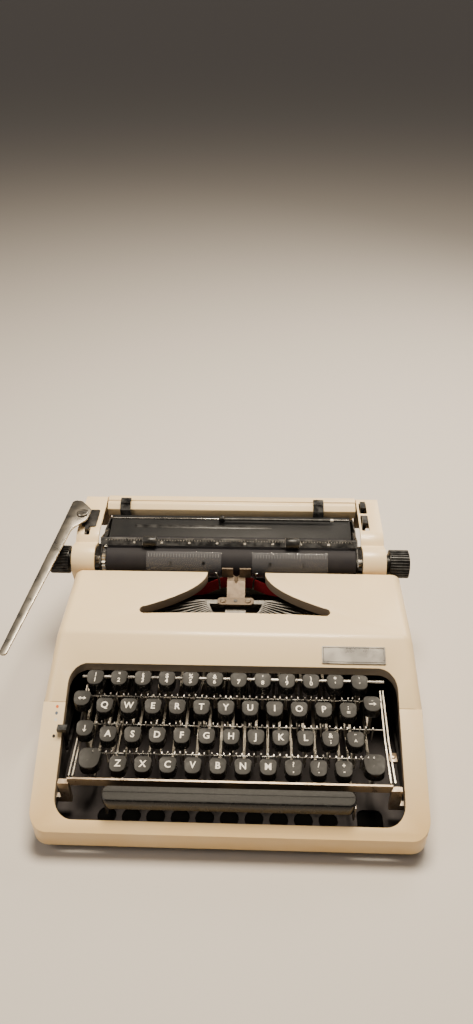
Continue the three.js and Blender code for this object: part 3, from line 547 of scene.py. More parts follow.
def glyph(text, size):
    key = (text, size)
    if key not in glyphStore:
        curve = bpy.data.curves.new("glyph", "FONT")
        curve.body = text
        curve.size = size
        curve.align_x = "CENTER"
        curve.align_y = "CENTER"
        curve.extrude = letterSet["depth"]
        curve.offset = size * letterSet["boldness"]
        curve.resolution_u = letterSet["steps"]
        letter = bpy.data.objects.new("glyph", curve)
        addToScene(letter)
        mesh = bpy.data.meshes.new_from_object(letter.evaluated_get(bpy.context.evaluated_depsgraph_get()))
        glyphStore[key] = ([tuple(v.co) for v in mesh.vertices], [tuple(p.vertices) for p in mesh.polygons])
        bpy.data.objects.remove(letter)
    return glyphStore[key]


def addText(shape, text, size, place, slot):
    points, faces = glyph(text, size)
    shape.add([place(*p) for p in points], faces, slot)


print("helpers ready")


keySet = {"width": 14.6, "depth": 13.4, "height": 9.0, "tilt": 0.12, "pitch": 19.0, "rise": 10.4, "frontY": 40.0,
    "frontTop": 54.0, "rodY": 200.0, "rodZ": 27.0, "rodPitch": 9.0, "letter": 7.2, "small": 4.9, "lever": 2.0,
    "dish": 0.6}
# Scale of the outline, drop below the rim, share of the tilt, and the material of the band that starts there.
capProfile = [(1.0, 9.0, 0.0, 1), (0.99, 8.5, 0.05, 1), (0.985, 3.0, 0.7, 1), (0.975, 0.9, 0.93, 1),
    (0.965, 0.3, 1.0, 0), (0.935, 0.02, 1.0, 0)]
dishScales = (0.89, 0.78, 0.62, 0.42, 0.2, 0.04)


# How far the finger dish lies below the rim.
def dishDrop(u, v, width):
    return keySet["dish"] * max(0.0, 1 - (u * u + v * v) / (width * 0.48) ** 2)


def addCap(shape, x, y, top, width, depth, legend=""):
    near = width * 0.40
    outline = rounded([(-near, -depth / 2, width * 0.36), (near, -depth / 2, width * 0.36),
        (width / 2, depth / 2, width * 0.27), (-width / 2, depth / 2, width * 0.27)], 7)
    drop = keySet["height"] / capProfile[0][1]
    rings = [[(x + u * s, y + v * s, top - d * drop + keySet["tilt"] * v * share) for u, v in outline]
        for s, d, share, _ in capProfile]
    rings += [[(x + u * s, y + v * s, top + keySet["tilt"] * v * s - dishDrop(u * s, v * s, width)) for u,
        v in outline] for s in dishScales]
    shape.loft(rings, [band[3] for band in capProfile] + [0] * (len(dishScales) - 1))
    lines = legend.split("|")
    for i, text in enumerate(lines):
        if not text:
            continue
        size = keySet["letter"] if len(lines) == 1 else keySet["small"]
        shift = 0.2 if len(lines) == 1 else 2.5 - 4.6 * i

        def place(u, v, w, shift=shift):
            v = v * 1.05 + shift
            return x + u, y + v, top + keySet["tilt"] * v - dishDrop(u, v, width) + 0.05 + w

        addText(shape, text, size, place, 2)


def addLever(shape, x, y, top, rodZ, slot=3):
    half, stem = 2.5, top - keySet["height"] + 0.5
    end = keySet["rodY"] - 2.2
    outline = [(y - 1.5, rodZ - half), (end, rodZ - half), (end, rodZ + half), (y + 1.5, rodZ + half),
        (y + 1.5, stem), (y - 1.5, stem)]
    shape.prism("x", outline, x - keySet["lever"] / 2, x + keySet["lever"] / 2, slot)


def addHub(shape, x0, x1, rodZ, slot=3):
    shape.turned("x", [(3.3, x0), (3.3, x1), (1.8, x1), (1.8, x0)], keySet["rodY"], rodZ, slot, 16, hollow=True)


keyFinish = (capTop, capSkirt, legendWhite, leverSteel)
keyRows = [("key_row_4", -84.75, ["Z", "X", "C", "V", "B", "N", "M", "?|,", "/|.", "+|-"]),
    ("key_row_3", -94.25, ["A", "S", "D", "F", "G", "H", "J", "K", "L", "&|;", "¨|^"]),
    ("key_row_2", -99.0, ["Q", "W", "E", "R", "T", "Y", "U", "I", "O", "P", ":|="]),
    ("key_row_1", -108.5, ["!|1", "\"|2", "§|3", "$|4", "%|5", "&|6", "_|7", "'|8", "(|9", ")|0", "*|'", "`|´"])]


def makeRows():
    for deck, (node, first, legends) in enumerate(keyRows):
        shape = Shape()
        rodZ = keySet["rodZ"] + deck * keySet["rodPitch"]
        y = keySet["frontY"] + deck * keySet["pitch"]
        top = keySet["frontTop"] + deck * keySet["rise"]
        for i, legend in enumerate(legends):
            x = first + i * keySet["pitch"]
            addCap(shape, x, y, top, keySet["width"], keySet["depth"], legend)
            addLever(shape, x, y, top, rodZ)
        addHub(shape, first - 2, first + (len(legends) - 1) * keySet["pitch"] + 2, rodZ)
        makePiece(node + "_keys", shape, keyFinish, node, (node,), angle=32)


# An arrow of a head and a shaft, for the function keys; spin turns it in the plane of the cap.
def addArrow(shape, x, y, top, spin, ends):
    turn = Matrix.Rotation(radians(spin), 2)
    parts = [oblong(-2.4, 2.4, -0.35, 0.35)]
    parts += [[(e * 3.2, 0), (e * 1.1, 1.5), (e * 1.6, 0), (e * 1.1, -1.5)] for e in ends]
    for part in parts:
        flat = [turn @ Vector(p) for p in part]
        shape.loft([[(x + p.x, y + p.y, top + keySet["tilt"] * p.y - 0.45 + w) for p in flat] for w in (-0.2, 0.05)],
            2)


def makeSingles():
    singles = [("margin_release_key", -117, 82, 78, 2, 0, (-1, 1)), ("backspace_key", 109.4, 82, 78, 2, 0, (1,)),
        ("shift_lock_key", -112.5, 62, 67, 1, -90, (1,))]
    for node, x, y, top, deck, spin, ends in singles:
        shape = Shape()
        rodZ = keySet["rodZ"] + deck * keySet["rodPitch"]
        addCap(shape, x, y, top, keySet["width"], keySet["depth"])
        addArrow(shape, x, y, top, spin, ends)
        addLever(shape, x, y, top, rodZ)
        addHub(shape, x - 2, x + 2, rodZ)
        makePiece(node + "_cap", shape, keyFinish, node, (node,), angle=32)
    shape = Shape()
    for x, inner, outer in ((-106.7, -96.5, -108.7), (109.3, 97.5, 111.3)):
        addCap(shape, x, 43, 56, 18, 17)
        addLever(shape, x, 43, 56, keySet["rodZ"])
        addHub(shape, min(inner, outer), max(inner, outer), keySet["rodZ"])
        shape.box(x - 1, x + 1, 202, 219, 21, 29.5, 3)
    shape.bar("x", 2, -108, 110.5, 218, 22, 3, 16)
    makePiece("shift_caps", shape, keyFinish, "shift_keys", ("shift_keys",), angle=32)


spaceSet = {"half": 94.0, "base": 38.0, "front": 48.5, "rear": 50.0, "nearY": 12.2, "farY": 24.6}


def makeSpaceBar():
    shape = Shape()
    half, nearY, farY = spaceSet["half"], spaceSet["nearY"], spaceSet["farY"]

    def ring(inset, z, lift, slant):
        corners = rounded([(-half + inset, nearY + inset - slant, 5.2), (half - inset, nearY + inset - slant, 5.2),
            (half - inset, farY - inset, 4.0), (-half + inset, farY - inset, 4.0)], 6)
        return [(u, v, z + lift * (v - nearY) / (farY - nearY)) for u, v in corners]

    rings = [ring(0.9, spaceSet["base"], 0, 1.1), ring(0.3, spaceSet["front"] - 4.5, 0.8, 0.6),
        ring(0.1, spaceSet["front"] - 1.3, 1.3, 0.1),
        ring(0.9, spaceSet["front"] - 0.35, 1.45, 0), ring(1.9, spaceSet["front"], 1.5, 0)]
    shape.loft(rings, [1, 1, 1, 0])
    for x in (-91.9, 93.4):
        outline = [(16, 24.5), (197.8, 24.5), (197.8, 29.5), (19, 29.5), (19, 40), (16, 40)]
        shape.prism("x", outline, x - 0.75, x + 0.75, 2)
        addHub(shape, x - 0.75, x + 0.75, keySet["rodZ"], 2)
    makePiece("space_bar_moulding", shape, (stippled, capSkirt, leverSteel), "space_bar", ("space_bar",),
        angle=40)


makeRows()
makeSingles()
makeSpaceBar()
print("keys made")


shellSet = {"halfBody": 149.0, "depth": 297.0, "base": 8.0, "front": 25.0, "slope": 0.538, "seam": 84.0,
    "crease": 134.0, "coverRear": 211.5, "skirt": 60.0, "flare": 5.0, "wall": 2.5, "openHalf": 131.5, "openNear": 8.0,
    "openFar": 111.5, "openCorner": 15.0, "throat": 26.0, "basketHalf": 76.5, "basketNear": 157.0}


def planeZ(y):
    return shellSet["front"] + shellSet["slope"] * y


coverTop = planeZ(shellSet["crease"])


# Adds or cuts another object; the new faces take that object's material.
def combine(piece, other, operation):
    change = piece.modifiers.new("carve", "BOOLEAN")
    change.operation = operation
    change.object = other
    change.solver = "EXACT"
    change.material_mode = "TRANSFER"
    bake(piece)
    bpy.data.objects.remove(other)


# Cut faces take the darkened cream unless told otherwise: painted shade on the inner walls.
def carve(piece, shape, operation="DIFFERENCE", paint=paintedShadeBrown):
    combine(piece, solidObject(piece.name + "_tool", shape, (paint,)), operation)


def finishShell(piece, bevel, body, node):
    bevelEdges(piece, bevel, "shell")
    smoothMesh(piece.data, 40)
    return mount(piece, body, (node,))


def keyboardOutline(grow):
    half, near, far = shellSet["openHalf"] + grow, shellSet["openNear"] - grow, shellSet["openFar"] + grow
    corner = shellSet["openCorner"] + grow
    return rounded(oblong(-half, half, near, far, corner), 10)


# The turned-in rim under the opening's edge.
def rimShape():
    outer, inner = keyboardOutline(1.8), keyboardOutline(0.0)
    count = len(outer)
    points, faces = [], []
    for ring, deep in ((outer, 1.0), (inner, 1.0), (inner, 8.3), (outer, 8.3)):
        points += [(u, v, planeZ(v) - deep) for u, v in ring]
    for band in range(4):
        above = (band + 1) % 4
        faces += [(band * count + i, band * count + (i + 1) % count, above * count + (i + 1) % count,
            above * count + i) for i in range(count)]
    return Shape().add(points, faces)


def makeLowerFrame():
    half, depth, base, seam = shellSet["halfBody"], shellSet["depth"], shellSet["base"], shellSet["seam"] - 0.3
    sideTop, front, wall = shellSet["skirt"] - 0.5, shellSet["front"], shellSet["wall"]
    # a block with round plan corners, cut to the side view, so that the corners stay round
    plan = rounded(oblong(-half, half, 0, depth, 14), 8)
    piece = solidObject("lower_casing", Shape().prism("z", plan, base, 90), (cream, paintedShadeBrown))
    section = rounded([(-5, base - 5), (-5, front - 2.7), (0.0, front, 5.0), (seam, planeZ(seam)), (seam, sideTop),
        (depth + 5, sideTop), (depth + 5, base - 5)], 8)
    carve(piece, Shape().prism("x", section, -half - 9, half + 9), "INTERSECT", cream)
    inside = rounded(oblong(-half + wall, half - wall, wall, depth - wall, 11.5), 8)
    roof = lambda y: planeZ(y) - wall * 1.14
    # the hollow's walls and the turned-in rim take the darkened cream: painted shade inside the casing
    hollow = solidObject("hollow_tool", Shape().prism("z", inside, -5, 100), (paintedShadeBrown,))
    lid = [(-9, -9), (depth + 9, -9), (depth + 9, roof(seam + 8)), (seam + 8, roof(seam + 8)), (-9, roof(-9))]
    carve(hollow, Shape().prism("x", lid, -half - 9, half + 9), "INTERSECT")
    combine(piece, hollow, "DIFFERENCE")
    rim = solidObject("rim_tool", rimShape(), (paintedShadeBrown,))
    carve(rim, Shape().box(-half, half, -5, seam, 0, 120), "INTERSECT")
    combine(piece, rim, "UNION")
    carve(piece, Shape().prism("z", keyboardOutline(0), 0, 130))
    carve(piece, Shape().box(-118.3, 118.3, depth - wall - 1, depth + 3, base + 6, 120))
    finishShell(piece, 1.0, "machine", "lower_frame")


def basketOutline(grow):
    throat, tipX, near, rear = (shellSet[k] for k in ("throat", "basketHalf", "basketNear", "coverRear"))
    near -= grow
    tip = 4.5 + grow
    tipY = near + tip
    points = [(throat + grow, rear + 6), (throat + grow, rear - 4)]
    a, b, c, d = (Vector(p) for p in ((throat + grow, rear - 4), (throat + 4 + grow, 190), (52, 177 + grow),
        (tipX, tipY + tip)))
    for k in range(1, 15):
        t = k / 14
        points.append(tuple(a * (1 - t) ** 3 + b * 3 * t * (1 - t) ** 2 + c * 3 * t * t * (1 - t) + d * t ** 3))
    points += [(tipX + tip * cos(t), tipY + tip * sin(t)) for t in (pi / 2 - pi * k / 10 for k in range(1, 11))]
    edge = [(tipX * (1 - 2 * k / 16), near + 2 * (1 - (1 - 2 * k / 16) ** 2)) for k in range(1, 8)]
    right = points + edge
    left = [(-u, v) for u, v in reversed(right)]
    return right + [(0.0, near + 2)] + left


def coverShape(inset, baseZ, nearY, farY):
    half, crease, slope = shellSet["halfBody"] - 3, shellSet["crease"], shellSet["slope"]
    drop = inset * sqrt(1 + slope ** 2)
    blendY, blend = crease - 2, 6.0
    stations = [nearY, (nearY + blendY) / 2, blendY] + [blendY + blend * k / 8 for k in range(1, 9)]
    stations += [farY - 1.2, farY] if inset == 0 else [farY]

    def topAt(y):
        t = min(1.0, max(0.0, (y - blendY) / blend))
        return planeZ(y) if y < blendY else planeZ(blendY) + slope * (1 - t / 2) * blend * t

    rings = []
    for y in stations:
        topZ = topAt(y) - (drop if y < crease else inset)
        if inset == 0 and y == farY:
            topZ -= 0.8
        lean = lambda z: half + shellSet["flare"] * (coverTop - z) / (coverTop - shellSet["skirt"]) - inset
        corners = [(-lean(baseZ), baseZ), (-lean(topZ), topZ, 9 - inset * 0.5), (lean(topZ), topZ, 9 - inset * 0.5),
            (lean(baseZ), baseZ)]
        rings.append([(u, y, v) for u, v in rounded(corners, 9)])
    return Shape().loft(rings)


def makeTopCover():
    half, seam, rear, wall, skirt = (shellSet[k] for k in ("halfBody", "seam", "coverRear", "wall", "skirt"))
    piece = solidObject("cover_shell", coverShape(0, skirt, seam, rear), (cream, paintedShadeBrown))
    carve(piece, coverShape(wall, skirt - 4, seam - 6, rear - wall))
    carve(piece, Shape().box(-half + 10, half - 10, rear - 8, rear + 2, skirt - 5, 86))
    # the rims and the basket's lip take the darkened cream: painted shade under the cover's edges
    rims = solidObject("rims_tool", rimShape(), (paintedShadeBrown,))
    carve(rims, Shape().box(-half, half, seam, 140, 0, 130), "INTERSECT")
    lip = solidObject("lip_tool", Shape().prism("z", basketOutline(1.8), coverTop - 8.5, coverTop - 0.5), (paintedShadeBrown,))
    carve(lip, Shape().box(-120, 120, 140, rear, 0, 130), "INTERSECT")
    for tool in (rims, lip):
        combine(piece, tool, "UNION")
    carve(piece, Shape().prism("z", basketOutline(0), 50, 140))
    carve(piece, Shape().prism("z", keyboardOutline(0), 0, 140))
    finishShell(piece, 0.9, "cover", "top_cover")


makeLowerFrame()
makeTopCover()
print("casing made")


def repaint(material, *nodes):
    for node in nodes:
        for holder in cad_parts[node].material_slots:
            holder.link = "OBJECT"
            holder.material = material


bedSet = {"sheetHalf": 145, "sheetNear": 4, "sheetFar": 120, "corner": 9, "stubs": 46, "stubStep": 4.75,
    "stubX": -104.2, "looseness": 2.5}


def makeKeyboardBed():
    # a black sheet at the level of the base closes the clearance holes; it is painted shade, standing in for the
    # shadowed floor under the machine
    half = bedSet["sheetHalf"]
    sheet = rounded(oblong(-half, half, bedSet["sheetNear"], bedSet["sheetFar"], bedSet["corner"]))
    makePiece("shade_sheet", Shape().prism("z", sheet, 8.25, 8.5), (shadeSheetBlack,), "machine")
    makePiece("cream_tab", Shape().box(-6.6, 6.6, 9.4, 16.6, 12.0, 12.25), (cream,), "machine")
    for deck in range(3):
        y = keySet["frontY"] + deck * keySet["pitch"] + 9.6
        top = keySet["frontTop"] + deck * keySet["rise"]
        stub = Shape().box(-104.7, -103.9, y - 2.1, y - 0.5, top - 11, top + 3.2)
        repeatPiece("lever_stubs_" + str(deck), stub, steel, "machine", bedSet["stubs"],
            step=(bedSet["stubStep"], 0, 0),
            pivot=(bedSet["stubX"], y, top - 13), loose=(bedSet["looseness"], bedSet["looseness"], 0), seed=deck + 3)
        makePiece("stub_wire_" + str(deck), Shape().bar("x", 0.5, -112, 118, y + 0.2, top - 1.5, sides=10), (steel,),
            "machine")
    links = Shape()
    for x, lean in ((-121.5, 3), (-118.6, 2), (121.0, -2), (124.2, -3)):
        links.loft([[(x + u + lean * t, y, z + v) for u, v in oblong(-0.5, 0.5, -1.1, 1.1)]
            for t, y, z in ((0, 33, 46.5), (0.5, 66, 52), (1, 104, 66))])
    makePiece("side_links", links, (leverSteel,), "machine")
    block = Shape().box(122.5, 128.5, 52, 60, 44, 47).bar("z", 1.6, 47, 48.4, 125.5, 56, sides=18)
    makePiece("brass_block", block, (tanSteel,), "machine", bevel=0.3)


basketSet = {"y": 192.0, "z": 80.0, "tilt": 12.0, "count": 44, "first": 188.0, "sweep": 164.0, "near": 26.0,
    "far": 70.0}


def basketTurn():
    place = Matrix.Translation(Vector((0, basketSet["y"], basketSet["z"])) * mm)
    return Matrix.Translation(origin) @ place @ Matrix.Rotation(radians(basketSet["tilt"]), 4,
        "X") @ Matrix.Translation(-origin)


def makeBasket():
    near, far = basketSet["near"], basketSet["far"]
    bar = Shape().box(near, far - 6, -0.45, 0.45, 3.4, 6.0).box(far - 6.5, far, -1.0, 1.0, 2.9, 6.3)
    start = Matrix.Rotation(radians(basketSet["first"]), 3, "Z")
    bar.moved(lambda p: start @ Vector(p))
    bars = repeatPiece("typebars", bar, barSteel, "basket", basketSet["count"],
        turn=(0, 0, basketSet["sweep"] / (basketSet["count"] - 1)), loose=(0, 0, 0.12),
        nodes=("typebar_set",), seed=8)
    bars.data.transform(basketTurn())
    screws = Shape()
    for x in (-11.0, 11.0):
        screws.turned("z", [(2.7, 86.0), (2.7, 86.9), (2.1, 87.4)], x, 185.5, 0, 24)
        screws.box(x - 2.2, x + 2.2, 185.2, 185.8, 87.35, 87.5, 1)
    screws.turned("z", [(1.7, 86.0), (1.7, 86.7)], 0, 185.5, 1, 20)
    makePiece("guide_screws", screws, (tanSteel, darkSteel), "basket")
    ears = Shape()
    for side in (-1, 1):
        ears.loft([[(side * x + u, y + v, z) for u, v in oblong(-0.9, 0.9, -0.3, 0.3)]
            for x, y, z in ((15, 207.6, 80), (15.6, 208.2, 90), (17.6, 208.4, 96), (18.2, 208.4, 99))])
    makePiece("ribbon_ears", ears, (steel,), "basket", bevel=0.15)


ribbonSet = {"knots": ((-82, 166, 67), (-84, 200, 69), (-28, 206, 75), (-12, 211, 79)), "half": 0.05, "width": 12.5}


def makeRibbon():
    knots = [Vector(p) for p in ribbonSet["knots"]]
    edge = oblong(-ribbonSet["half"], ribbonSet["half"], 0, ribbonSet["width"])
    path = [a.lerp(b, k / 8) for a, b in zip(knots, knots[1:]) for k in range(8)] + [knots[-1]]
    path += [Vector((-p.x, p.y, p.z)) for p in reversed(path)]
    length = sum((b - a).length for a, b in zip(path, path[1:]))
    rings = [[(p.x, p.y + v, p.z + w) for v, w in edge] for p in path]
    ribbon = makePiece("inked_ribbon", Shape().loft(rings), (ribbonRed,), "machine", ("ribbon",))


makeKeyboardBed()
makeBasket()
makeRibbon()
print("basket and keyboard bed made")


carriageSet = {"x": -8.0, "inner": 122.0, "outer": 143.0, "platenY": 231.0, "platenZ": 93.0, "radius": 15.0,
    "top": 114.5, "rear": 306.0, "bailY": 234.0, "bailZ": 113.2}


def onCarriage(shape):
    return shape.moved(lambda p: (p[0] + carriageSet["x"], p[1], p[2]))


def capOutline(inset):
    y, z, radius = carriageSet["platenY"], carriageSet["platenZ"], 17.0 - inset
    arc = [(y + radius * cos(radians(a)), z + radius * sin(radians(a))) for a in range(92, 191, 7)]
    rear, top = carriageSet["rear"] - inset, carriageSet["top"] - inset
    tail = rounded([(y - 14 + inset, 79 - inset * 3), (rear - 8, 79 - inset * 3, 3), (rear, 92), (rear, top, 5),
        (y + 16, z + 18.6 - inset, 20)], 6)
    return arc + tail


def makeEndCaps():
    for side, node, slots in ((-1, "end_cap_left", [(-136, -131, 247, 265)]),
        (1, "end_cap_right", [(124, 131, 256, 278), (124, 131, 281, 296)])):
        inner, outer = sorted((side * carriageSet["inner"], side * carriageSet["outer"]))
        low, high = sorted((side * (carriageSet["inner"] - 1), side * (carriageSet["outer"] - 2.5)))
        piece = solidObject(node + "_shell", onCarriage(Shape().prism("x", capOutline(0), inner, outer)),
            (cream, paintedShadeBrown))
        carve(piece, onCarriage(Shape().prism("x", capOutline(2.5), low, high)))
        carve(piece, onCarriage(Shape().bar("x", 4.3, -150, 150, carriageSet["platenY"], carriageSet["platenZ"],
            sides=24)))
        for x0, x1, y0, y1 in slots:
            hole = rounded(oblong(x0, x1, y0, y1, 1.2), 4)
            carve(piece, onCarriage(Shape().prism("z", hole, 100, 125)))
        finishShell(piece, 1.1, "carriage", node)


def makeRails():
    top, rear = carriageSet["top"], carriageSet["rear"]
    section = rounded([(288.5, 101.5), (303.5, 101.5), (303.5, 86), (rear, 86), (rear, top, 2.5),
        (297.4, top - 0.1, 0.4), (297.0, top - 1.3, 0.3), (293.5, top - 1.7, 2.5), (288.5, top - 5, 1.2)], 5)
    makePiece("rear_rail_cover", onCarriage(Shape().prism("x", section, -121, 121)), (cream,), "carriage",
        ("rear_rail",), bevel=0.5)
    table = Shape()
    table.prism("x", [(257.8, 98.9), (283.3, 103.6), (283.3, 86), (285, 86), (285, 104.9), (284, 105.2),
        (257.8, 100.3)], -115, 115, 0)
    table.prism("x", [(249.5, 96.2), (257.7, 98.8), (257.7, 100.2), (249.2, 97.6)], -115, 115, 1)
    table.prism("x", [(268.6, 102.1), (272.6, 102.9), (272.6, 103.25), (268.6, 102.5)], -92, 40, 2)
    table.bar("x", 0.65, -114, 114, 280.2, 105.1, 3, 12)
    makePiece("paper_table_bands", onCarriage(table), (tableGrey, platenRubber, blackPlastic, steel), "carriage",
        ("paper_table",), bevel=0.12)
    arm = Shape().bar("x", 1.3, -8, 96, 276, 108, 0, 16).turned("x",
        [(1.3, 95.9), (1.5, 96.4), (1.5, 98.4), (1.0, 99)], 276, 108, 1, 16)
    arm.turned("y", [(2.6, 273.5), (3.0, 274), (3.0, 278), (2.6, 278.5)], -8, 108.2, 0, 20)
    makePiece("paper_arm", onCarriage(arm), (blackPlastic, legendWhite), "paper_rest_arm", ("paper_rest_arm",))
    for side, x in (("left", -103.0), ("right", 85.0)):
        rib = onCarriage(Shape().box(x - 4.8, x - 4.2, 289.5, 297.6, carriageSet["top"] + 0.9,
            carriageSet["top"] + 2.1))
        repeatPiece("margin_ribs_" + side, rib, blackPlastic, "margin_stop_" + side, 9, step=(1.1, 0, 0),
            pivot=(x - 4.5 + carriageSet["x"], 293, 115))


def makePlaten():
    y, z, radius = carriageSet["platenY"], carriageSet["platenZ"], carriageSet["radius"]
    sleeve = Shape().turned("x", [(4.1, -112), (14.4, -112), (radius, -111.2), (radius, 115.2), (14.4, 116),
        (4.1, 116)], y, z, 0, 96, hollow=True)
    makePiece("platen_sleeve", onCarriage(sleeve), (platenRubber,), "platen", ("platen",), angle=30)
    for side, sign in (("left", -1), ("right", 1)):
        low, high = sorted((sign * 147, sign * 165))
        x = lambda v: sign * v
        core = Shape().turned("x", [(8, x(144)), (8, x(147)), (11.6, x(147.2)), (11.8, x(148)), (11.8, x(164)),
            (11.0, x(165)), (7.5, x(165)), (7.0, x(164.4))], y, z, 0, 48)
        makePiece("knob_core_" + side, onCarriage(core), (blackPlastic,), "platen", ("platen_knob_" + side,))
        rib = rounded([(y - 0.75, z + 11.5), (y + 0.75, z + 11.5), (y + 0.55, z + 12.95, 0.35),
            (y - 0.55, z + 12.95, 0.35)], 3)
        ribShape = Shape().prism("x", rib, low + 0.5, high - 0.6)
        repeatPiece("knob_ribs_" + side, onCarriage(ribShape), blackPlastic, "platen", 30,
            pivot=(carriageSet["x"], y, z), turn=(12, 0, 0))


def makeBail():
    y, z, c = carriageSet["bailY"], carriageSet["bailZ"], sqrt(0.5)
    along = lambda a, b: (y + c * (a - b), z + c * (a + b))
    strip = lambda *sides: [along(*p) for p in oblong(*sides)]
    bail = Shape().prism("x", strip(3.5, 1.9, 0.7, -0.7), -117.5, 117.5, 0)
    bail.prism("x", strip(1.9, -3.5, 0.55, -0.7), -116.5, 116.5, 1)
    arm = [(y - 2, z - 1.5), (265, 98.5), (267, 102), (y + 2, z + 2.5)]
    for x in (-117.5, 116.0):
        bail.prism("x", arm, x, x + 1.5, 0)
    for x in (-72.0, 58.5):
        for edge in (-6.9, 6.2):
            bail.prism("x", strip(4.3, -3.6, 1.4, -0.9), x + edge, x + edge + 0.7, 0)
    for mark in range(1, 9):
        x = -112 + mark * 25.4

        def place(u, v, w, x=x):
            return (x + u, *along(v - 1.0, 0.62 + w))

        addText(bail, str(mark * 10), 2.3, place, 2)
    makePiece("bail_bar", onCarriage(bail), (steel, blackPlastic, legendWhite), "paper_bail", ("paper_bail",))
    tick = Shape().prism("x", strip(1.7, 0.7, 0.62, 0.5), -112.1, -111.9)
    repeatPiece("bail_ticks", onCarriage(tick), legendWhite, "paper_bail", 89, step=(2.54, 0, 0),
        pivot=(-112 + carriageSet["x"], y, z))
    for side, x in (("left", -72.0), ("right", 58.5)):
        profile = [(3.9, x - 6), (4.6, x - 6), (5.0, x - 5.4), (5.0, x + 5.4), (4.6, x + 6), (3.9, x + 6)]
        roller = Shape().turned("x", profile, y, z, 0, 32, hollow=True)
        makePiece("roller_" + side, onCarriage(roller), (blackPlastic,), "bail_roller_" + side,
            ("bail_roller_" + side,))


cardSet = {"inner": 17.6, "outer": 18.2, "half": 82.0, "gap": 14.0, "start": 192, "sweep": 80, "steps": 20,
    "bridge": 184}


def makeCardGuide():
    y, z = carriageSet["platenY"], carriageSet["platenZ"]
    at = lambda radius, a: (y + radius * cos(radians(a)), z + radius * sin(radians(a)))
    steps = [cardSet["start"] - cardSet["sweep"] * k / cardSet["steps"] for k in range(cardSet["steps"] + 1)]
    bridge = [a for a in steps if a > cardSet["bridge"]]
    half, gap = cardSet["half"], cardSet["gap"]
    plates = Shape()
    for angles, x0, x1 in ((steps, -half, -gap), (steps, gap, half), (bridge, -gap, gap)):
        back = [at(cardSet["outer"], a) for a in reversed(angles)]
        plates.prism("x", [at(cardSet["inner"], a) for a in angles] + back, x0, x1)
    makePiece("card_plate", plates, (clearPlastic,), "machine", ("card_guide",))
    for side, x in (("left", -80.0), ("right", 16.6)):
        tick = Shape().prism("x", [at(18.25, 119), at(18.25, 129), at(18.34, 129), at(18.34, 119)], x - 0.12,
            x + 0.12)
        repeatPiece("card_ticks_" + side, tick, graduation, "machine", 26, step=(2.54, 0, 0), pivot=(x, y, z))
    holes = Shape()
    for x in (-60.0, -30.0, 30.0, 60.0):
        hub = Vector((x, *at(18.2, 145)))
        out = Vector((0, cos(radians(145)), sin(radians(145))))
        side = Vector((1, 0, 0))
        up = out.cross(side)
        holes.loft([[hub + out * w + side * r * cos(t) + up * r * sin(t) for t in turns(18)] for r,
            w in ((1.5, -0.2), (1.5, 0.25))])
    makePiece("card_holes", holes, (blackPlastic,), "machine")


leverSet = {"length": 166.0, "pivot": (-147.0, 264.0, 121.0), "swing": -9, "drop": 19}


def makeReturnLever():
    length, pivot = leverSet["length"], leverSet["pivot"]
    lean = Matrix.Rotation(atan(leverSet["drop"] / length), 4, "X")
    turn = Matrix.Rotation(radians(leverSet["swing"]), 4, "Z") @ lean
    outline = rounded([(-15, 17, 4), (-14, -30, 14), (-12, -length, 2.8), (-6, -length, 2.8), (-3.5, -20, 14),
        (6.5, -7, 6), (6.5, 7, 6), (-6, 17, 4)], 7)
    arm = Shape().prism("z", outline, -0.9, 0.9)
    fold = [(-14.6, 8), (-13.6, 8), (-12.8, -30), (-10.7, -length + 6), (-11.7, -length + 6), (-13.9, -30)]
    arm.prism("z", fold, -5.0, -0.6)
    arm.moved(lambda p: turn @ Vector(p) + Vector(pivot))
    arm.turned("z", [(3.4, 113.2), (3.4, 120.4)], pivot[0], pivot[1], 0, 24)
    arm.turned("z", [(5.4, 121.9), (5.4, 123.2), (4.6, 123.8)], pivot[0], pivot[1], 0, 32)
    arm.box(pivot[0] - 4.6, pivot[0] + 4.6, pivot[1] - 0.5, pivot[1] + 0.5, 123.75, 123.9, 1)
    makePiece("return_arm", arm, (leverSteel, darkSteel), "return_lever", ("return_lever",), bevel=0.35)
    plate = Shape().prism("z", rounded(oblong(-148, -134, 256, 282, 2)), 112.6, 113.4)
    makePiece("pivot_plate", plate, (darkSteel,), "carriage", bevel=0.2)


makeEndCaps()
makeRails()
makePlaten()
makeBail()
makeCardGuide()
makeReturnLever()
print("carriage made")


badgeSet = {"half": 25.5, "depth": 7, "corner": 0.8, "border": 24.3, "borderDepth": 5.8, "x": 97.5, "y": 120.5}
markSet = {"x": -137.6, "radius": 1.15, "places": ((80.5, 0), (76.0, 1), (71.5, 2), (60.5, 3))}


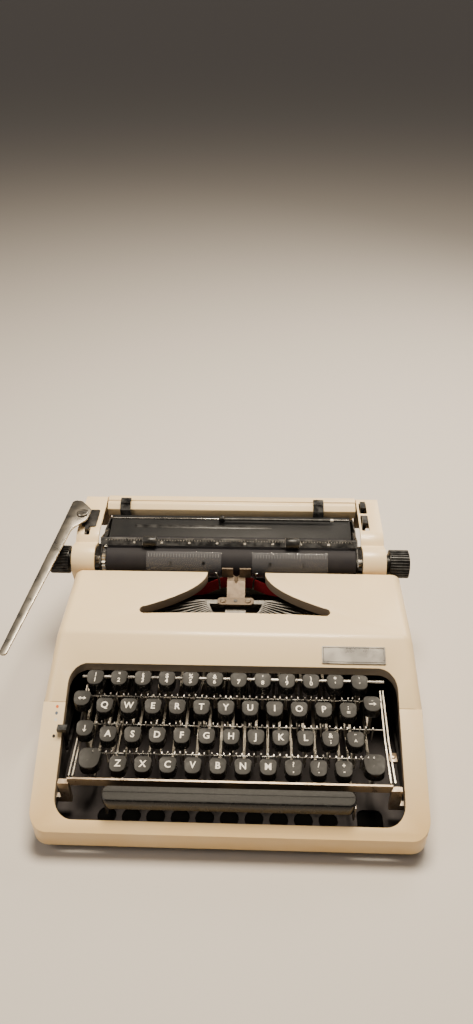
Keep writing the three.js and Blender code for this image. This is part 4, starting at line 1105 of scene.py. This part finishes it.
def makeBadge():
    tilt = Matrix.Rotation(atan(shellSet["slope"]), 4, "X")
    plate = Shape().prism("z", rounded(oblong(-badgeSet["half"], badgeSet["half"], -badgeSet["depth"],
        badgeSet["depth"], badgeSet["corner"])), 0.3, 1.1, 0)
    frameOuter = oblong(-badgeSet["border"], badgeSet["border"], -badgeSet["borderDepth"], badgeSet["borderDepth"])
    for (x0, y0), (x1, y1) in zip(frameOuter, frameOuter[1:] + frameOuter[:1]):
        plate.box(min(x0, x1) - 0.2, max(x0, x1) + 0.2, min(y0, y1) - 0.2, max(y0, y1) + 0.2, 1.1, 1.22, 1)
    plate.moved(lambda p: tilt @ Vector(p) + Vector((badgeSet["x"], badgeSet["y"], planeZ(badgeSet["y"]))))
    makePiece("plain_badge", plate, (plateMetal, darkSteel), "cover", ("badge_plate",))
    dots = Shape()
    for y, slot in markSet["places"]:
        edge = circle(markSet["radius"], markSet["x"], y, 20)
        dots.loft([[(u, v, planeZ(v) + lift) for u, v in edge] for lift in (-0.1, 0.06)], slot)
    paints = (makeFinish("markOrange", (0.75, 0.16, 0.03), (0.5, 0.1, 0.02), 0.5),
        makeFinish("markBlue", (0.10, 0.14, 0.20), (0.1, 0.1, 0.1), 0.5), legendWhite, blackPlastic)
    makePiece("selector_marks", dots, paints, "machine")


makeBadge()
repaint(panGrey, "base_pan")
repaint(cream, "rear_panel")
repaint(footRubber, "foot_front_left", "foot_front_right", "foot_rear_left", "foot_rear_right")
repaint(darkSteel, "side_frame_left", "side_frame_right", "spool_cup_left", "spool_cup_right", "carriage_frame")
repaint(steel, "fulcrum_rod_1", "fulcrum_rod_2", "fulcrum_rod_3", "fulcrum_rod_4", "key_stop_bar", "mainspring_drum",
    "bell", "platen_shaft")
repaint(tanSteel, "key_comb", "escapement_wheel")
repaint(leverSteel, "carriage_rail")
repaint(barSteel, "segment")
repaint(guideNickel, "type_guide")
repaint(platenRubber, "feed_roller")
repaint(blackPlastic, "ribbon_spool_left", "ribbon_spool_right", "margin_stop_left", "margin_stop_right",
    "line_space_selector", "paper_release_lever", "carriage_release_lever", "ribbon_selector")
print("small marks made")
